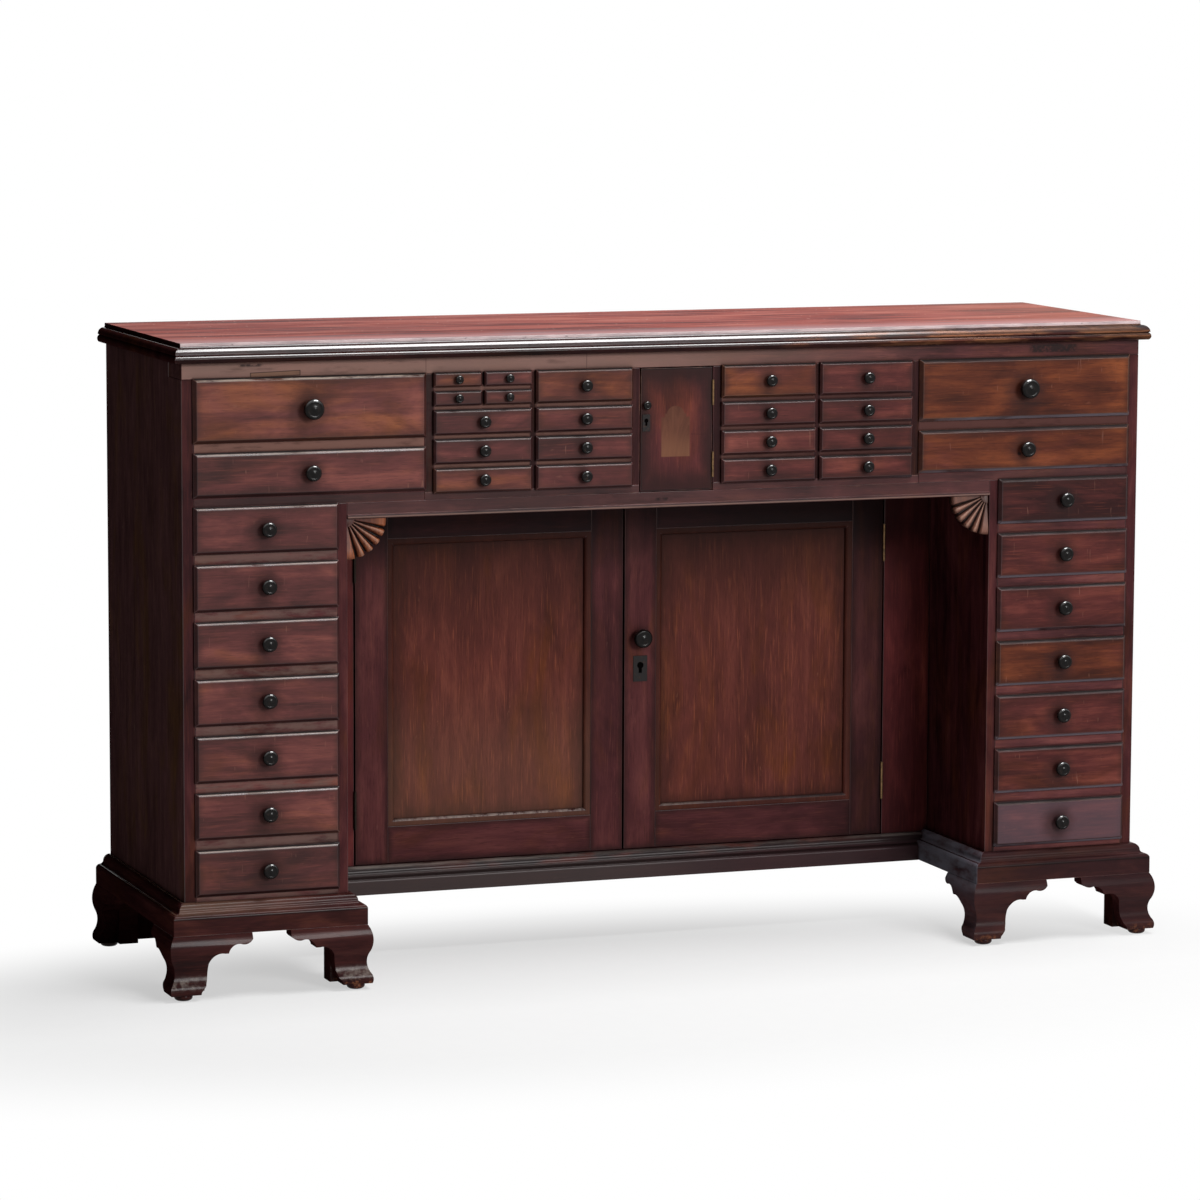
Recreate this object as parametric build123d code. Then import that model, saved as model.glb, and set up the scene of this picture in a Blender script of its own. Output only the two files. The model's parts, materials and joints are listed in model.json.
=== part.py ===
from build123d import *
from math import radians, tan
import os

# A kneehole collectors cabinet: two pedestals of seven drawers, a frieze of small drawers
# round a little door under the top, and a two-door cupboard set back in the kneehole.
# Millimetres. x = 0 is the middle, y = 0 the front of the case, z = 0 the floor; the finished
# pieces are moved back to front so that y = 0 is the middle of the whole depth.

# Case boards
case_width = 1336.0
case_depth = 373.0
pedestal_width = 218.0
end_thickness = 15.5
cheek_thickness = 13.5
back_thickness = 10.0
back_board_count = 6

# Top board: an upper fillet, a small cove, an ovolo, a quirk and a bead
top_thickness = 25.0
top_front_overhang = 14.0
top_end_overhang = 12.0
top_step = 1.5
top_fillet_height = 4.0
top_cove = 1.5
top_ovolo_setback = 1.0
top_quirk = 0.8
top_bead_height = 9.6
top_bead_bulge = 2.6

# Frieze
top_rail_height = 21.0
top_rail_depth = 60.0
side_floor_thickness = 14.0
centre_floor_thickness = 10.0
outer_partition = 12.5
mid_partition = 8.0
inner_partition = 12.2
tiny_partition = 6.4
small_divider = 8.0
small_rows = 3
small_opening_width = 131.0
small_opening_height = 29.5
upper_opening_height = 40.5
lower_large_height = 54.5
large_rail = 14.5
small_cupboard_width = 102.6
apron_height = 20.5
apron_thickness = 14.0
apron_bead = 5.0

# Pedestals
pedestal_drawer_count = 7
pedestal_opening_height = 58.0
pedestal_rail = 15.2
pedestal_floor_thickness = 22.8

# Plinth and feet
plinth_projection = 20.5
plinth_fascia = 25.0
plinth_moulding = 15.0
plinth_fillet = 1.8
plinth_shoulder = 5.0
plinth_ledge = 20.0
pad_height = 8.0
pad_diameter = 24.0
pad_sides = 8
pad_bevel = 3.0
pad_inset = 14.5
pad_front_inset = 8.5
foot_height = 76.0
foot_length = 104.0
foot_side_length = 95.0
foot_thickness = 20.0
foot_block = 46.0
foot_bulge = 5.4
foot_waist = 1.4
foot_toe = 5.6
rear_bracket_length = 62.0
# The ogee of a foot, from its top down: outward, as shares of bulge, waist or toe, and height.
ogee_bulge_shares = ((0.0, 1.0), (1.0, 0.8), (0.4, 0.546))
ogee_waist_share = 0.345
ogee_toe_shares = ((0.4, 0.19), (1.0, 0.076), (0.8, 0.0))
# The scroll of a foot, from its tip in to its toe: length, height and bow of the arc up to there.
scroll_shares = (
    (1.0, 0.9, 0.0),
    (0.84, 0.83, 0.18),
    (0.685, 0.68, -0.2),
    (0.64, 0.68, 0.0),
    (0.44, 0.51, -0.21),
    (0.42, 0.25, 0.0),
    (0.395, 0.14, 0.0),
    (0.34, 0.045, 0.0),
    (0.335, 0.0, 0.0),
)

# Kneehole cupboard
kneehole_depth = 193.0
jamb_width = 68.5
door_thickness = 18.0
cupboard_floor_thickness = 15.0
base_rail_fascia = 21.0
base_rail_projection = 20.0
head_rail_height = 21.0
stile_width = 45.5
door_rail_height = 49.5
panel_thickness = 8.0
panel_setback = 6.0
panel_moulding_width = 9.5
panel_moulding_step = 0.6
panel_moulding_radius = 5.0
meeting_gap = 2.5
door_edge_gap = 1.4

# Fan spandrels
fan_radius = 53.0
fan_petal_count = 6
fan_hub_radius = 11.0
fan_setback = 6.0
fan_base_thickness = 8.0
fan_hub_relief = 4.0
fan_tip_share = 0.9
fan_tip_width_share = 0.5
# Across one petal of a fan: shares of its half width and of its height.
fan_crown_shares = ((1.0, 0.0), (0.4, 1.0), (-0.4, 1.0), (-1.0, 0.0))
fan_relief_share = 0.95

# Drawers
lip_proud = 7.0
lip_gap = 0.3
lip_lap = 1.5
plug_depth = 13.0
side_clearance = 0.6
running_clearance = 0.3
top_clearance = 1.2
side_drop = 3.0
bottom_rise = 1.2
drawer_back_gap = 4.0
large_side = 9.0
large_bottom = 6.0
large_bevel = 4.5
large_knob = 27.0
lower_large_knob = 21.0
pedestal_side = 7.0
pedestal_bottom = 5.0
pedestal_bevel = 4.0
pedestal_knob = 20.0
small_side = 5.0
small_bottom = 4.0
small_bevel = 3.0
small_knob = 15.5
tiny_side = 3.0
tiny_bottom = 2.0
tiny_bevel = 2.4
tiny_knob = 11.0
# A turned knob, with few sides because there are many: sizes as shares of its diameter.
knob_sides = 10
knob_length_share = 0.68
knob_flare_share = 0.38
knob_flare_step_share = 0.22
knob_face_bevel_share = 0.09

# Doors' fittings
cupboard_knob = 26.0
cupboard_knob_rise = 290.0
cupboard_lock_drop = 42.5
cupboard_lock_width = 20.0
cupboard_lock_height = 35.0
cupboard_lock_case_width = 40.0
cupboard_lock_case_height = 56.0
cupboard_lock_case_depth = 10.0
small_door_thickness = 12.0
small_door_gap = 1.0
small_door_free_gap = 1.5
small_door_knob = 11.0
small_door_knob_rise = 114.0
small_door_lock_drop = 23.0
small_door_lock_width = 10.5
small_door_lock_height = 22.0
small_door_lock_case_width = 24.0
small_door_lock_case_height = 30.0
small_door_lock_case_depth = 8.0
small_door_fitting_inset = 7.5
lock_plate_thickness = 0.8
keyhole_share = 0.13
keyhole_slot_share = 0.3

# Butt hinges
cupboard_hinge_length = 51.0
cupboard_hinge_rise = 75.5
cupboard_hinge_drop = 82.0
cupboard_hinge_gap = 2.0
cupboard_leaf = 0.85
cupboard_leaf_depth = 16.0
cupboard_barrel = 3.6
cupboard_pin = 1.8
small_hinge_length = 33.0
small_hinge_inset = 34.3
small_hinge_gap = 1.2
small_leaf = 0.5
small_leaf_depth = 10.0
small_barrel = 2.8
small_pin = 1.4
pin_clearance = 0.06
knuckle_gap = 0.3
knuckle_sides = 12
pin_sides = 16
barrel_gap = 0.2

# One overrun for every cutting shape
overrun = 2.0

# Bow of a quarter circle and of a half circle over their chords
quarter_bow_share = 0.2071
half_bow_share = 0.5

# Levels, from the floor up
plinth_bottom = pad_height + foot_height
case_bottom = plinth_bottom + plinth_fascia
pedestal_floor = case_bottom + pedestal_floor_thickness
pedestal_pitch = pedestal_opening_height + pedestal_rail
pedestal_top = pedestal_floor + pedestal_drawer_count * pedestal_pitch - pedestal_rail
side_floor = pedestal_top + side_floor_thickness
centre_floor = pedestal_top + centre_floor_thickness
small_pitch = small_opening_height + small_divider
upper_opening = centre_floor + small_rows * small_pitch
top_rail_bottom = upper_opening + upper_opening_height
top_bottom = top_rail_bottom + top_rail_height
apron_bottom = pedestal_top - apron_height
cupboard_floor = plinth_bottom + base_rail_fascia + cupboard_floor_thickness
head_rail_bottom = pedestal_top - head_rail_height
tiny_opening_height = (upper_opening_height - small_divider) / 2
cupboard_knob_level = cupboard_floor + cupboard_knob_rise
small_door_knob_level = pedestal_top + small_door_knob_rise
cupboard_hinge_levels = (cupboard_floor + cupboard_hinge_rise, head_rail_bottom - cupboard_hinge_drop)
small_hinge_levels = (pedestal_top + small_hinge_inset, top_rail_bottom - small_hinge_inset)

# Places across the width, from the middle out
case_half = case_width / 2
end_inner = case_half - end_thickness
cheek_outer = case_half - pedestal_width
cheek_inner = cheek_outer + cheek_thickness
small_cupboard_half = small_cupboard_width / 2
inner_column_start = small_cupboard_half + inner_partition
inner_column_end = inner_column_start + small_opening_width
outer_column_start = inner_column_end + mid_partition
outer_column_end = outer_column_start + small_opening_width
large_start = outer_column_end + outer_partition
door_opening_half = cheek_outer - jamb_width

# Places from the front back
back_face = case_depth - back_thickness
drawer_end = back_face - drawer_back_gap
door_back = kneehole_depth + door_thickness
front_reach = max(
    lip_proud + large_knob * knob_length_share,
    plinth_projection + max(foot_bulge, foot_toe),
)
depth_shift = (front_reach - case_depth) / 2


def slab(x0, x1, y0, y1, z0, z1):
    """A rectangular board between six faces."""
    return Pos((x0 + x1) / 2, (y0 + y1) / 2, (z0 + z1) / 2) * Box(x1 - x0, y1 - y0, z1 - z0)


def on_side(sign, near, far):
    """The stretch of x from near to far on the right (sign 1) or the left (sign -1)."""
    return (near, far) if sign > 0 else (-far, -near)


def mirrored(solids):
    """Solids of the left side followed by their mirror images on the right."""
    return list(solids) + [mirror(s, about=Plane.YZ) for s in solids]


def bowed(start, end, bow_share):
    """A line, or an arc that bows to the left of its travel by a share of its chord."""
    if bow_share == 0:
        return Line(start, end)
    a, b = Vector(*start), Vector(*end)
    chord = b - a
    middle = (a + b) * 0.5 + Vector(-chord.Y, chord.X) * bow_share
    return ThreePointArc(a, middle, b)


def run(section, start, outward, length):
    """A section drawn as (outward, up), carried along the edge that it dresses."""
    along = Vector(*outward).cross(Vector(0, 0, 1))
    return extrude(Plane(origin=start, x_dir=outward, z_dir=along) * section, length)


def plan_prism(points, z0, z1):
    """An upright prism on a plan outline."""
    return extrude(Pos(0, 0, z0) * make_face(Polyline(*points, close=True)), z1 - z0)


def top_section(overhang, reach):
    """Section of the top board at one moulded edge, reaching back into the board."""
    bead_foot = overhang - top_bead_bulge
    fillet_foot = (top_step, top_thickness - top_fillet_height)
    cove_foot = (top_step + top_cove, top_thickness - top_fillet_height - top_cove)
    ovolo_foot = (overhang - top_ovolo_setback, top_bead_height + top_quirk)
    return make_face(
        [
            Polyline((-reach, 0), (-reach, top_thickness), (top_step, top_thickness), fillet_foot),
            bowed(fillet_foot, cove_foot, -quarter_bow_share),
            bowed(cove_foot, ovolo_foot, quarter_bow_share),
            Polyline(ovolo_foot, (bead_foot, ovolo_foot[1]), (bead_foot, top_bead_height)),
            bowed((bead_foot, top_bead_height), (bead_foot, 0), top_bead_bulge / top_bead_height),
            Line((bead_foot, 0), (-reach, 0)),
        ]
    )


def top_board():
    """The top, with its moulding mitred round the front and both ends."""
    wide = case_half + top_end_overhang
    deep = case_depth + top_front_overhang
    front = run(
        top_section(top_front_overhang, case_depth), (wide, 0, top_bottom), (0, -1, 0), 2 * wide
    )
    end = top_section(top_end_overhang, case_width + top_end_overhang)
    left = run(end, (-case_half, -top_front_overhang, top_bottom), (-1, 0, 0), deep)
    right = run(end, (case_half, case_depth, top_bottom), (1, 0, 0), deep)
    return [front & left & right]


def end_panels():
    """The two end panels, notched at the top of the front for the rail."""
    panel = slab(-case_half, -end_inner, 0, case_depth, case_bottom, top_bottom)
    notch = slab(
        -case_half - overrun, -end_inner + overrun, -overrun, top_rail_depth,
        top_rail_bottom, top_bottom + overrun,
    )
    return mirrored([panel - notch])


def kneehole_cheeks():
    """The inner sides of the pedestals, which face the kneehole."""
    return mirrored([slab(-cheek_inner, -cheek_outer, 0, back_face, case_bottom, pedestal_top)])


def back_boards():
    """Upright boards side by side between the end panels."""
    width = 2 * end_inner / back_board_count
    starts = [-end_inner + i * width for i in range(back_board_count)]
    return [slab(x, x + width, back_face, case_depth, case_bottom, top_bottom) for x in starts]


def frieze_frame():
    """The top rail, the floors under the frieze drawers and the apron over the kneehole."""
    rail = slab(-case_half, case_half, 0, top_rail_depth, top_rail_bottom, top_bottom)
    side = slab(-end_inner, -large_start, 0, back_face, pedestal_top, side_floor)
    centre = slab(-large_start, large_start, 0, back_face, pedestal_top, centre_floor)
    door_room = slab(
        -small_cupboard_half, small_cupboard_half, -overrun, small_door_thickness + small_door_gap,
        pedestal_top - overrun, centre_floor + overrun,
    )
    apron = make_face(
        [
            Line((-apron_thickness, 0), (-apron_thickness, apron_height)),
            Line((-apron_thickness, apron_height), (0, apron_height)),
            Line((0, apron_height), (0, apron_bead)),
            bowed((0, apron_bead), (0, 0), half_bow_share),
            Line((0, 0), (-apron_thickness, 0)),
        ]
    )
    apron_run = run(apron, (cheek_outer, 0, apron_bottom), (0, -1, 0), 2 * cheek_outer)
    return mirrored([side]) + [rail, centre - door_room, apron_run]


def frieze_partitions():
    """The uprights between the columns of the frieze and the dividers between its rows."""
    uprights = (
        (small_cupboard_half, inner_column_start),
        (inner_column_end, outer_column_start),
        (outer_column_end, large_start),
    )
    left = [slab(-b, -a, 0, back_face, centre_floor, top_rail_bottom) for a, b in uprights]
    for start in (inner_column_start, outer_column_start):
        for row in range(small_rows):
            z = centre_floor + row * small_pitch + small_opening_height
            x0, x1 = on_side(-1, start, start + small_opening_width)
            left.append(slab(x0, x1, 0, back_face, z, z + small_divider))
    z = side_floor + lower_large_height
    left.append(slab(-end_inner, -large_start, 0, back_face, z, z + large_rail))
    return mirrored(left) + tiny_dividers()


def tiny_dividers():
    """The shelf and the two short uprights that part the four tiny drawers."""
    x0, x1 = on_side(-1, outer_column_start, outer_column_end)
    shelf = upper_opening + tiny_opening_height
    middle = (x0 + x1) / 2
    sides = (middle - tiny_partition / 2, middle + tiny_partition / 2)
    return [
        slab(x0, x1, 0, back_face, shelf, shelf + small_divider),
        slab(*sides, 0, back_face, upper_opening, shelf),
        slab(*sides, 0, back_face, shelf + small_divider, top_rail_bottom),
    ]


def pedestal_boards():
    """The floors of the pedestals and the boards that their drawers run on."""
    left = [slab(-end_inner, -cheek_inner, 0, back_face, case_bottom, pedestal_floor)]
    for n in range(pedestal_drawer_count - 1):
        z = pedestal_floor + n * pedestal_pitch + pedestal_opening_height
        left.append(slab(-end_inner, -cheek_inner, 0, back_face, z, z + pedestal_rail))
    return mirrored(left)


def cupboard_surround():
    """The floor, jambs and head rail that frame the cupboard doors."""
    jamb = slab(
        -cheek_outer, -door_opening_half, kneehole_depth, door_back, cupboard_floor, pedestal_top
    )
    head = slab(
        -door_opening_half, door_opening_half, kneehole_depth, door_back, head_rail_bottom,
        pedestal_top,
    )
    floor = slab(
        -cheek_outer, cheek_outer, kneehole_depth, back_face,
        cupboard_floor - cupboard_floor_thickness, cupboard_floor,
    )
    return mirrored([jamb]) + [head, floor]


def plinth_section(projection, fascia):
    """A round-shouldered fascia, a cove and an ovolo over it, and a ledge under the case."""
    shoulder = (projection, fascia - plinth_shoulder)
    lip = (projection - plinth_shoulder, fascia + plinth_fillet)
    middle = (projection / 2, fascia + plinth_moulding / 2)
    return make_face(
        [
            Polyline((-plinth_ledge, 0), (projection, 0), shoulder),
            bowed(shoulder, lip, -quarter_bow_share),
            bowed(lip, middle, quarter_bow_share),
            bowed(middle, (0, fascia + plinth_moulding), -quarter_bow_share),
            Line((0, fascia + plinth_moulding), (0, fascia)),
            Line((0, fascia), (-plinth_ledge, fascia)),
            Line((-plinth_ledge, fascia), (-plinth_ledge, 0)),
        ]
    )


def plinth():
    """The moulded plinths of both pedestals and the base rail under the cupboard."""
    section = plinth_section(plinth_projection, plinth_fascia)
    top = case_bottom + plinth_moulding
    p, ledge = plinth_projection, plinth_ledge
    x0, x1 = on_side(-1, cheek_outer, case_half)
    front = run(section, (x1 + p, 0, plinth_bottom), (0, -1, 0), x1 - x0 + 2 * p)
    front &= plan_prism(
        ((x0 - p, -p), (x1 + p, -p), (x1 - ledge, ledge), (x0 + ledge, ledge)), plinth_bottom, top
    )
    outer = run(section, (x0, -p, plinth_bottom), (-1, 0, 0), case_depth + p)
    outer &= plan_prism(
        ((x0 - p, -p), (x0 + ledge, ledge), (x0 + ledge, case_depth), (x0 - p, case_depth)),
        plinth_bottom, top,
    )
    inner = run(section, (x1, kneehole_depth, plinth_bottom), (1, 0, 0), kneehole_depth + p)
    inner &= plan_prism(
        ((x1 + p, -p), (x1 - ledge, ledge), (x1 - ledge, kneehole_depth), (x1 + p, kneehole_depth)),
        plinth_bottom, top,
    )
    rear = slab(
        x0 + ledge, x1, case_depth - ledge, case_depth, plinth_bottom, plinth_bottom + plinth_fascia
    )
    sides = mirrored([front, outer, inner, rear])
    rail = run(
        plinth_section(base_rail_projection, base_rail_fascia),
        (cheek_outer, kneehole_depth, plinth_bottom), (0, -1, 0), 2 * cheek_outer,
    )
    return sides + [rail - sides]


def ogee_bracket(length, mitred):
    """One scrolled bracket along +X from its corner, facing -Y, mitred or square at the corner."""
    reach = foot_bulge + foot_toe
    bulge = [(foot_bulge * o, foot_height * v) for o, v in ogee_bulge_shares]
    toe = [(foot_toe * o, foot_height * v) for o, v in ogee_toe_shares]
    waist = (-foot_waist, foot_height * ogee_waist_share)
    section = make_face(
        [
            ThreePointArc(*bulge),
            ThreePointArc(bulge[-1], waist, toe[0]),
            ThreePointArc(*toe),
            Polyline(toe[-1], (-foot_thickness, 0), (-foot_thickness, foot_height), bulge[0]),
        ]
    )
    scroll = [(length * u, foot_height * v, bow) for u, v, bow in scroll_shares]
    edges = [Polyline((-reach, 0), (-reach, foot_height), (length, foot_height))]
    at = (length, foot_height)
    for u, v, bow in scroll:
        edges.append(bowed(at, (u, v), bow))
        at = (u, v)
    edges.append(Line(at, (-reach, 0)))
    face_plane = Plane(origin=(0, foot_thickness, pad_height), x_dir=(1, 0, 0), z_dir=(0, -1, 0))
    outline = extrude(face_plane * make_face(edges), foot_thickness + reach)
    corner = (-reach, -reach) if mitred else (0, -reach)
    inner = (foot_thickness, foot_thickness) if mitred else (0, foot_thickness)
    plan = plan_prism(
        (corner, (length, -reach), (length, foot_thickness), inner), pad_height, plinth_bottom
    )
    start = (length, 0, pad_height)
    return run(section, start, (0, -1, 0), length + reach) & outline & plan


def bracket_feet():
    """Ogee feet under each pedestal, with corner blocks: two in front and one at the outer back."""
    x0 = -case_half - plinth_projection
    x1 = -cheek_outer + plinth_projection
    diagonal = Plane(origin=(0, 0, 0), x_dir=(1, 1, 0), z_dir=(1, -1, 0))
    front = ogee_bracket(foot_length, mitred=True)
    side = mirror(ogee_bracket(foot_side_length, mitred=True), about=diagonal)
    square = ogee_bracket(foot_side_length, mitred=False)
    square = mirror(mirror(square, about=diagonal), about=Plane.XZ)
    pair = [front, side]
    left = [Pos(x0, -plinth_projection, 0) * s for s in pair]
    left += [Pos(x1, -plinth_projection, 0) * mirror(s, about=Plane.YZ) for s in pair]
    left.append(Pos(x0, case_depth, 0) * square)
    block = foot_block - foot_thickness
    block_front = foot_thickness - plinth_projection
    for low, near in (
        (x0 + foot_thickness, block_front),
        (x1 - foot_block, block_front),
        (x0 + foot_thickness, case_depth - foot_block),
    ):
        left.append(slab(low, low + block, near, near + block, pad_height, plinth_bottom))
    rear_start = x0 + foot_thickness
    left.append(
        slab(
            rear_start, rear_start + rear_bracket_length, case_depth - foot_thickness, case_depth,
            pad_height, plinth_bottom,
        )
    )
    return mirrored(left)


def foot_pads():
    """A pad under each foot, its lower edge taken off."""
    x0 = -case_half - plinth_projection + pad_inset
    x1 = -cheek_outer + plinth_projection - pad_inset
    front = pad_front_inset - plinth_projection
    rear = case_depth - pad_diameter / 2
    pad = extrude(RegularPolygon(pad_diameter / 2, pad_sides), pad_height)
    pad = chamfer(pad.faces().sort_by(Axis.Z)[0].edges(), pad_bevel)
    return mirrored([Pos(x, y, 0) * pad for x, y in ((x0, front), (x1, front), (x0, rear))])


def fan_petal(half_angle):
    """One petal along +X from the corner, crowned in front and narrowed at its tip."""
    tip = fan_radius * fan_tip_share
    side = tip * tan(radians(half_angle))
    end = side * fan_tip_width_share
    outline = make_face(
        Polyline((0, 0), (tip, side), (fan_radius, end), (fan_radius, -end), (tip, -side), close=True)
    )
    half = fan_radius * tan(radians(half_angle))
    relief = half * fan_relief_share
    petal = extrude(Plane.XZ.offset(-fan_base_thickness) * outline, fan_base_thickness + relief)
    crown = [Vector(fan_radius, -relief * high, half * wide) for wide, high in fan_crown_shares]
    for a, b in zip(crown, crown[1:]):
        facet = Plane(origin=(0, 0, 0), x_dir=a, z_dir=a.cross(b))
        petal = split(petal, bisect_by=facet, keep=Keep.TOP)
    return petal


def fan_spandrels():
    """Carved quarter fans in the upper corners of the kneehole."""
    step = 90 / fan_petal_count
    petal = fan_petal(step / 2)
    hub = slab(0, fan_hub_radius, -fan_hub_relief, fan_base_thickness, -fan_hub_radius, 0)
    hub &= extrude(Plane.XZ * Circle(fan_hub_radius), fan_radius, both=True)
    fan = hub
    for i in range(fan_petal_count):
        fan += Rot(0, step * (i + 0.5), 0) * petal
    return mirrored([Pos(-cheek_outer, fan_setback, apron_bottom) * fan])


def knob(diameter):
    """A knob flaring from its seat at y = 0 to a bevelled head, facing -Y."""
    body = extrude(RegularPolygon(diameter / 2, knob_sides), diameter * knob_length_share)
    face = body.faces().sort_by(Axis.Z)[-1]
    body = chamfer(face.edges(), diameter * knob_face_bevel_share)
    seat = body.faces().sort_by(Axis.Z)[0]
    body = chamfer(
        seat.edges(), diameter * knob_flare_step_share, diameter * knob_flare_share, reference=seat
    )
    return Rot(90, 0, 0) * body


def drawer_front(x0, x1, z0, z1, bevel):
    """A front with a bevelled lip that laps the opening and a plug that fills it."""
    lip = slab(x0 - lip_lap, x1 + lip_lap, -lip_proud, -lip_gap, z0 - lip_lap, z1 + lip_lap)
    lip = chamfer(lip.faces().sort_by(Axis.Y)[0].edges(), bevel)
    plug = slab(
        x0 + side_clearance, x1 - side_clearance, -lip_gap, plug_depth,
        z0 + running_clearance, z1 - top_clearance,
    )
    return lip + plug


def drawer(x0, x1, z0, z1, side, bottom, bevel, knob_diameter):
    """A lipped drawer for one opening: its front, two sides, bottom, back and knob."""
    left, right = x0 + side_clearance, x1 - side_clearance
    low, high = z0 + running_clearance, z1 - top_clearance - side_drop
    floor = low + bottom_rise
    boards = [
        slab(left, left + side, plug_depth, drawer_end, low, high),
        slab(right - side, right, plug_depth, drawer_end, low, high),
        slab(left + side, right - side, plug_depth, drawer_end, floor, floor + bottom),
        slab(left + side, right - side, drawer_end - side, drawer_end, floor + bottom, high),
    ]
    seat = Pos((x0 + x1) / 2, -lip_proud, (z0 + z1) / 2)
    return [drawer_front(x0, x1, z0, z1, bevel), *boards, seat * knob(knob_diameter)]


large_make = (large_side, large_bottom, large_bevel)
pedestal_make = (pedestal_side, pedestal_bottom, pedestal_bevel, pedestal_knob)
small_make = (small_side, small_bottom, small_bevel, small_knob)
tiny_make = (tiny_side, tiny_bottom, tiny_bevel, tiny_knob)


def large_openings(sign, side):
    """The two wide drawers at one end of the frieze."""
    x = on_side(sign, large_start, end_inner)
    rail = side_floor + lower_large_height
    return {
        f"{side}_large_drawer_1": ((*x, rail + large_rail, top_rail_bottom), (*large_make, large_knob)),
        f"{side}_large_drawer_2": ((*x, side_floor, rail), (*large_make, lower_large_knob)),
    }


def small_openings(sign, side):
    """The two columns of small drawers on one side of the little door, numbered from the top."""
    found = {}
    for column, start in (("outer", outer_column_start), ("inner", inner_column_start)):
        x = on_side(sign, start, start + small_opening_width)
        if (side, column) != ("left", "outer"):
            z = (upper_opening, top_rail_bottom)
            found[f"{side}_{column}_drawer_1"] = ((*x, *z), small_make)
        for row in range(small_rows):
            z0 = upper_opening - (row + 1) * small_pitch
            z = (z0, z0 + small_opening_height)
            found[f"{side}_{column}_drawer_{row + 2}"] = ((*x, *z), small_make)
    return found


def tiny_openings():
    """The four tiny drawers at the top of the outer left column."""
    x0, x1 = on_side(-1, outer_column_start, outer_column_end)
    middle = (x0 + x1) / 2
    upper = (top_rail_bottom - tiny_opening_height, top_rail_bottom)
    lower = (upper_opening, upper_opening + tiny_opening_height)
    places = [(x, z) for z in (upper, lower) for x in (
        (x0, middle - tiny_partition / 2),
        (middle + tiny_partition / 2, x1),
    )]
    return {f"tiny_drawer_{n}": ((*x, *z), tiny_make) for n, (x, z) in enumerate(places, 1)}


def pedestal_openings(sign, side):
    """The seven drawers of one pedestal, numbered from the top."""
    x = on_side(sign, cheek_inner, end_inner)
    found = {}
    for n in range(1, pedestal_drawer_count + 1):
        z0 = pedestal_top + pedestal_rail - n * pedestal_pitch
        z = (z0, z0 + pedestal_opening_height)
        found[f"{side}_pedestal_drawer_{n}"] = ((*x, *z), pedestal_make)
    return found


def all_openings():
    """Every drawer opening by the name of its drawer, with the make of that drawer."""
    found = {}
    for sign, side in ((-1, "left"), (1, "right")):
        found |= large_openings(sign, side) | small_openings(sign, side)
        found |= pedestal_openings(sign, side)
    return found | tiny_openings()


def left_door():
    """The left cupboard door: its frame of stiles and rails, and its panel with a moulding."""
    x0 = -door_opening_half + cupboard_hinge_gap
    x1 = -meeting_gap / 2
    z0 = cupboard_floor + door_edge_gap
    z1 = head_rail_bottom - door_edge_gap
    depth = (kneehole_depth, door_back)
    inner = (x0 + stile_width, x1 - stile_width, z0 + door_rail_height, z1 - door_rail_height)
    frame = [
        slab(x0, inner[0], *depth, z0, z1),
        slab(inner[1], x1, *depth, z0, z1),
        slab(inner[0], inner[1], *depth, z0, inner[2]),
        slab(inner[0], inner[1], *depth, inner[3], z1),
    ]
    panel_face = kneehole_depth + panel_setback
    panel = slab(inner[0], inner[1], panel_face, panel_face + panel_thickness, inner[2], inner[3])
    return frame, [panel, panel_moulding(*inner, panel_face)]


def panel_moulding(x0, x1, z0, z1, panel_face):
    """A moulding mitred round a panel, its inner edge rounded over."""
    w = panel_moulding_width
    front = kneehole_depth + panel_moulding_step
    ring = slab(x0, x1, front, panel_face, z0, z1)
    ring -= slab(x0 + w, x1 - w, front - overrun, panel_face + overrun, z0 + w, z1 - w)
    inner = ring.faces().sort_by(Axis.Y)[0].inner_wires()[0].edges()
    return fillet(inner, panel_moulding_radius)


def lock(x, level, face, back, width, height, case_width, case_height, case_depth):
    """A keyhole plate on the face of a door and the lock's case on its back."""
    plate = slab(
        x - width / 2, x + width / 2, face - lock_plate_thickness, face,
        level - height / 2, level + height / 2,
    )
    eye, drop = height * keyhole_share, height * keyhole_slot_share
    hole = Circle(eye) + Pos(0, -drop / 2) * Rectangle(eye, drop)
    through = Plane(origin=(x, face, level + eye), x_dir=(1, 0, 0), z_dir=(0, -1, 0)) * hole
    plate -= extrude(through, lock_plate_thickness + overrun, both=True)
    case = slab(
        x - case_width / 2, x + case_width / 2, back, back + case_depth,
        level - case_height / 2, level + case_height / 2,
    )
    return [plate, case]


def cupboard_fittings():
    """The knob and the lock on the meeting stile of the right door."""
    x = (meeting_gap + stile_width) / 2
    turned = Pos(x, kneehole_depth, cupboard_knob_level) * knob(cupboard_knob)
    return [turned] + lock(
        x, cupboard_knob_level - cupboard_lock_drop, kneehole_depth, door_back, cupboard_lock_width,
        cupboard_lock_height, cupboard_lock_case_width, cupboard_lock_case_height,
        cupboard_lock_case_depth,
    )


def small_door():
    """The little flush door in the middle of the frieze."""
    x0 = -small_cupboard_half + small_door_free_gap
    x1 = small_cupboard_half - small_hinge_gap
    z0, z1 = pedestal_top + small_door_gap, top_rail_bottom - small_door_gap
    return [slab(x0, x1, 0, small_door_thickness, z0, z1)]


def small_door_fittings():
    """The knob and the lock at the free edge of the little door."""
    x = -small_cupboard_half + small_door_free_gap + small_door_fitting_inset
    case_shift = (small_door_lock_case_width - small_door_lock_width) / 2
    turned = Pos(x, 0, small_door_knob_level) * knob(small_door_knob)
    plate, case = lock(
        x, small_door_knob_level - small_door_lock_drop, 0, small_door_thickness,
        small_door_lock_width, small_door_lock_height, small_door_lock_case_width,
        small_door_lock_case_height, small_door_lock_case_depth,
    )
    return [turned, plate, Pos(case_shift, 0, 0) * case]


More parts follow.
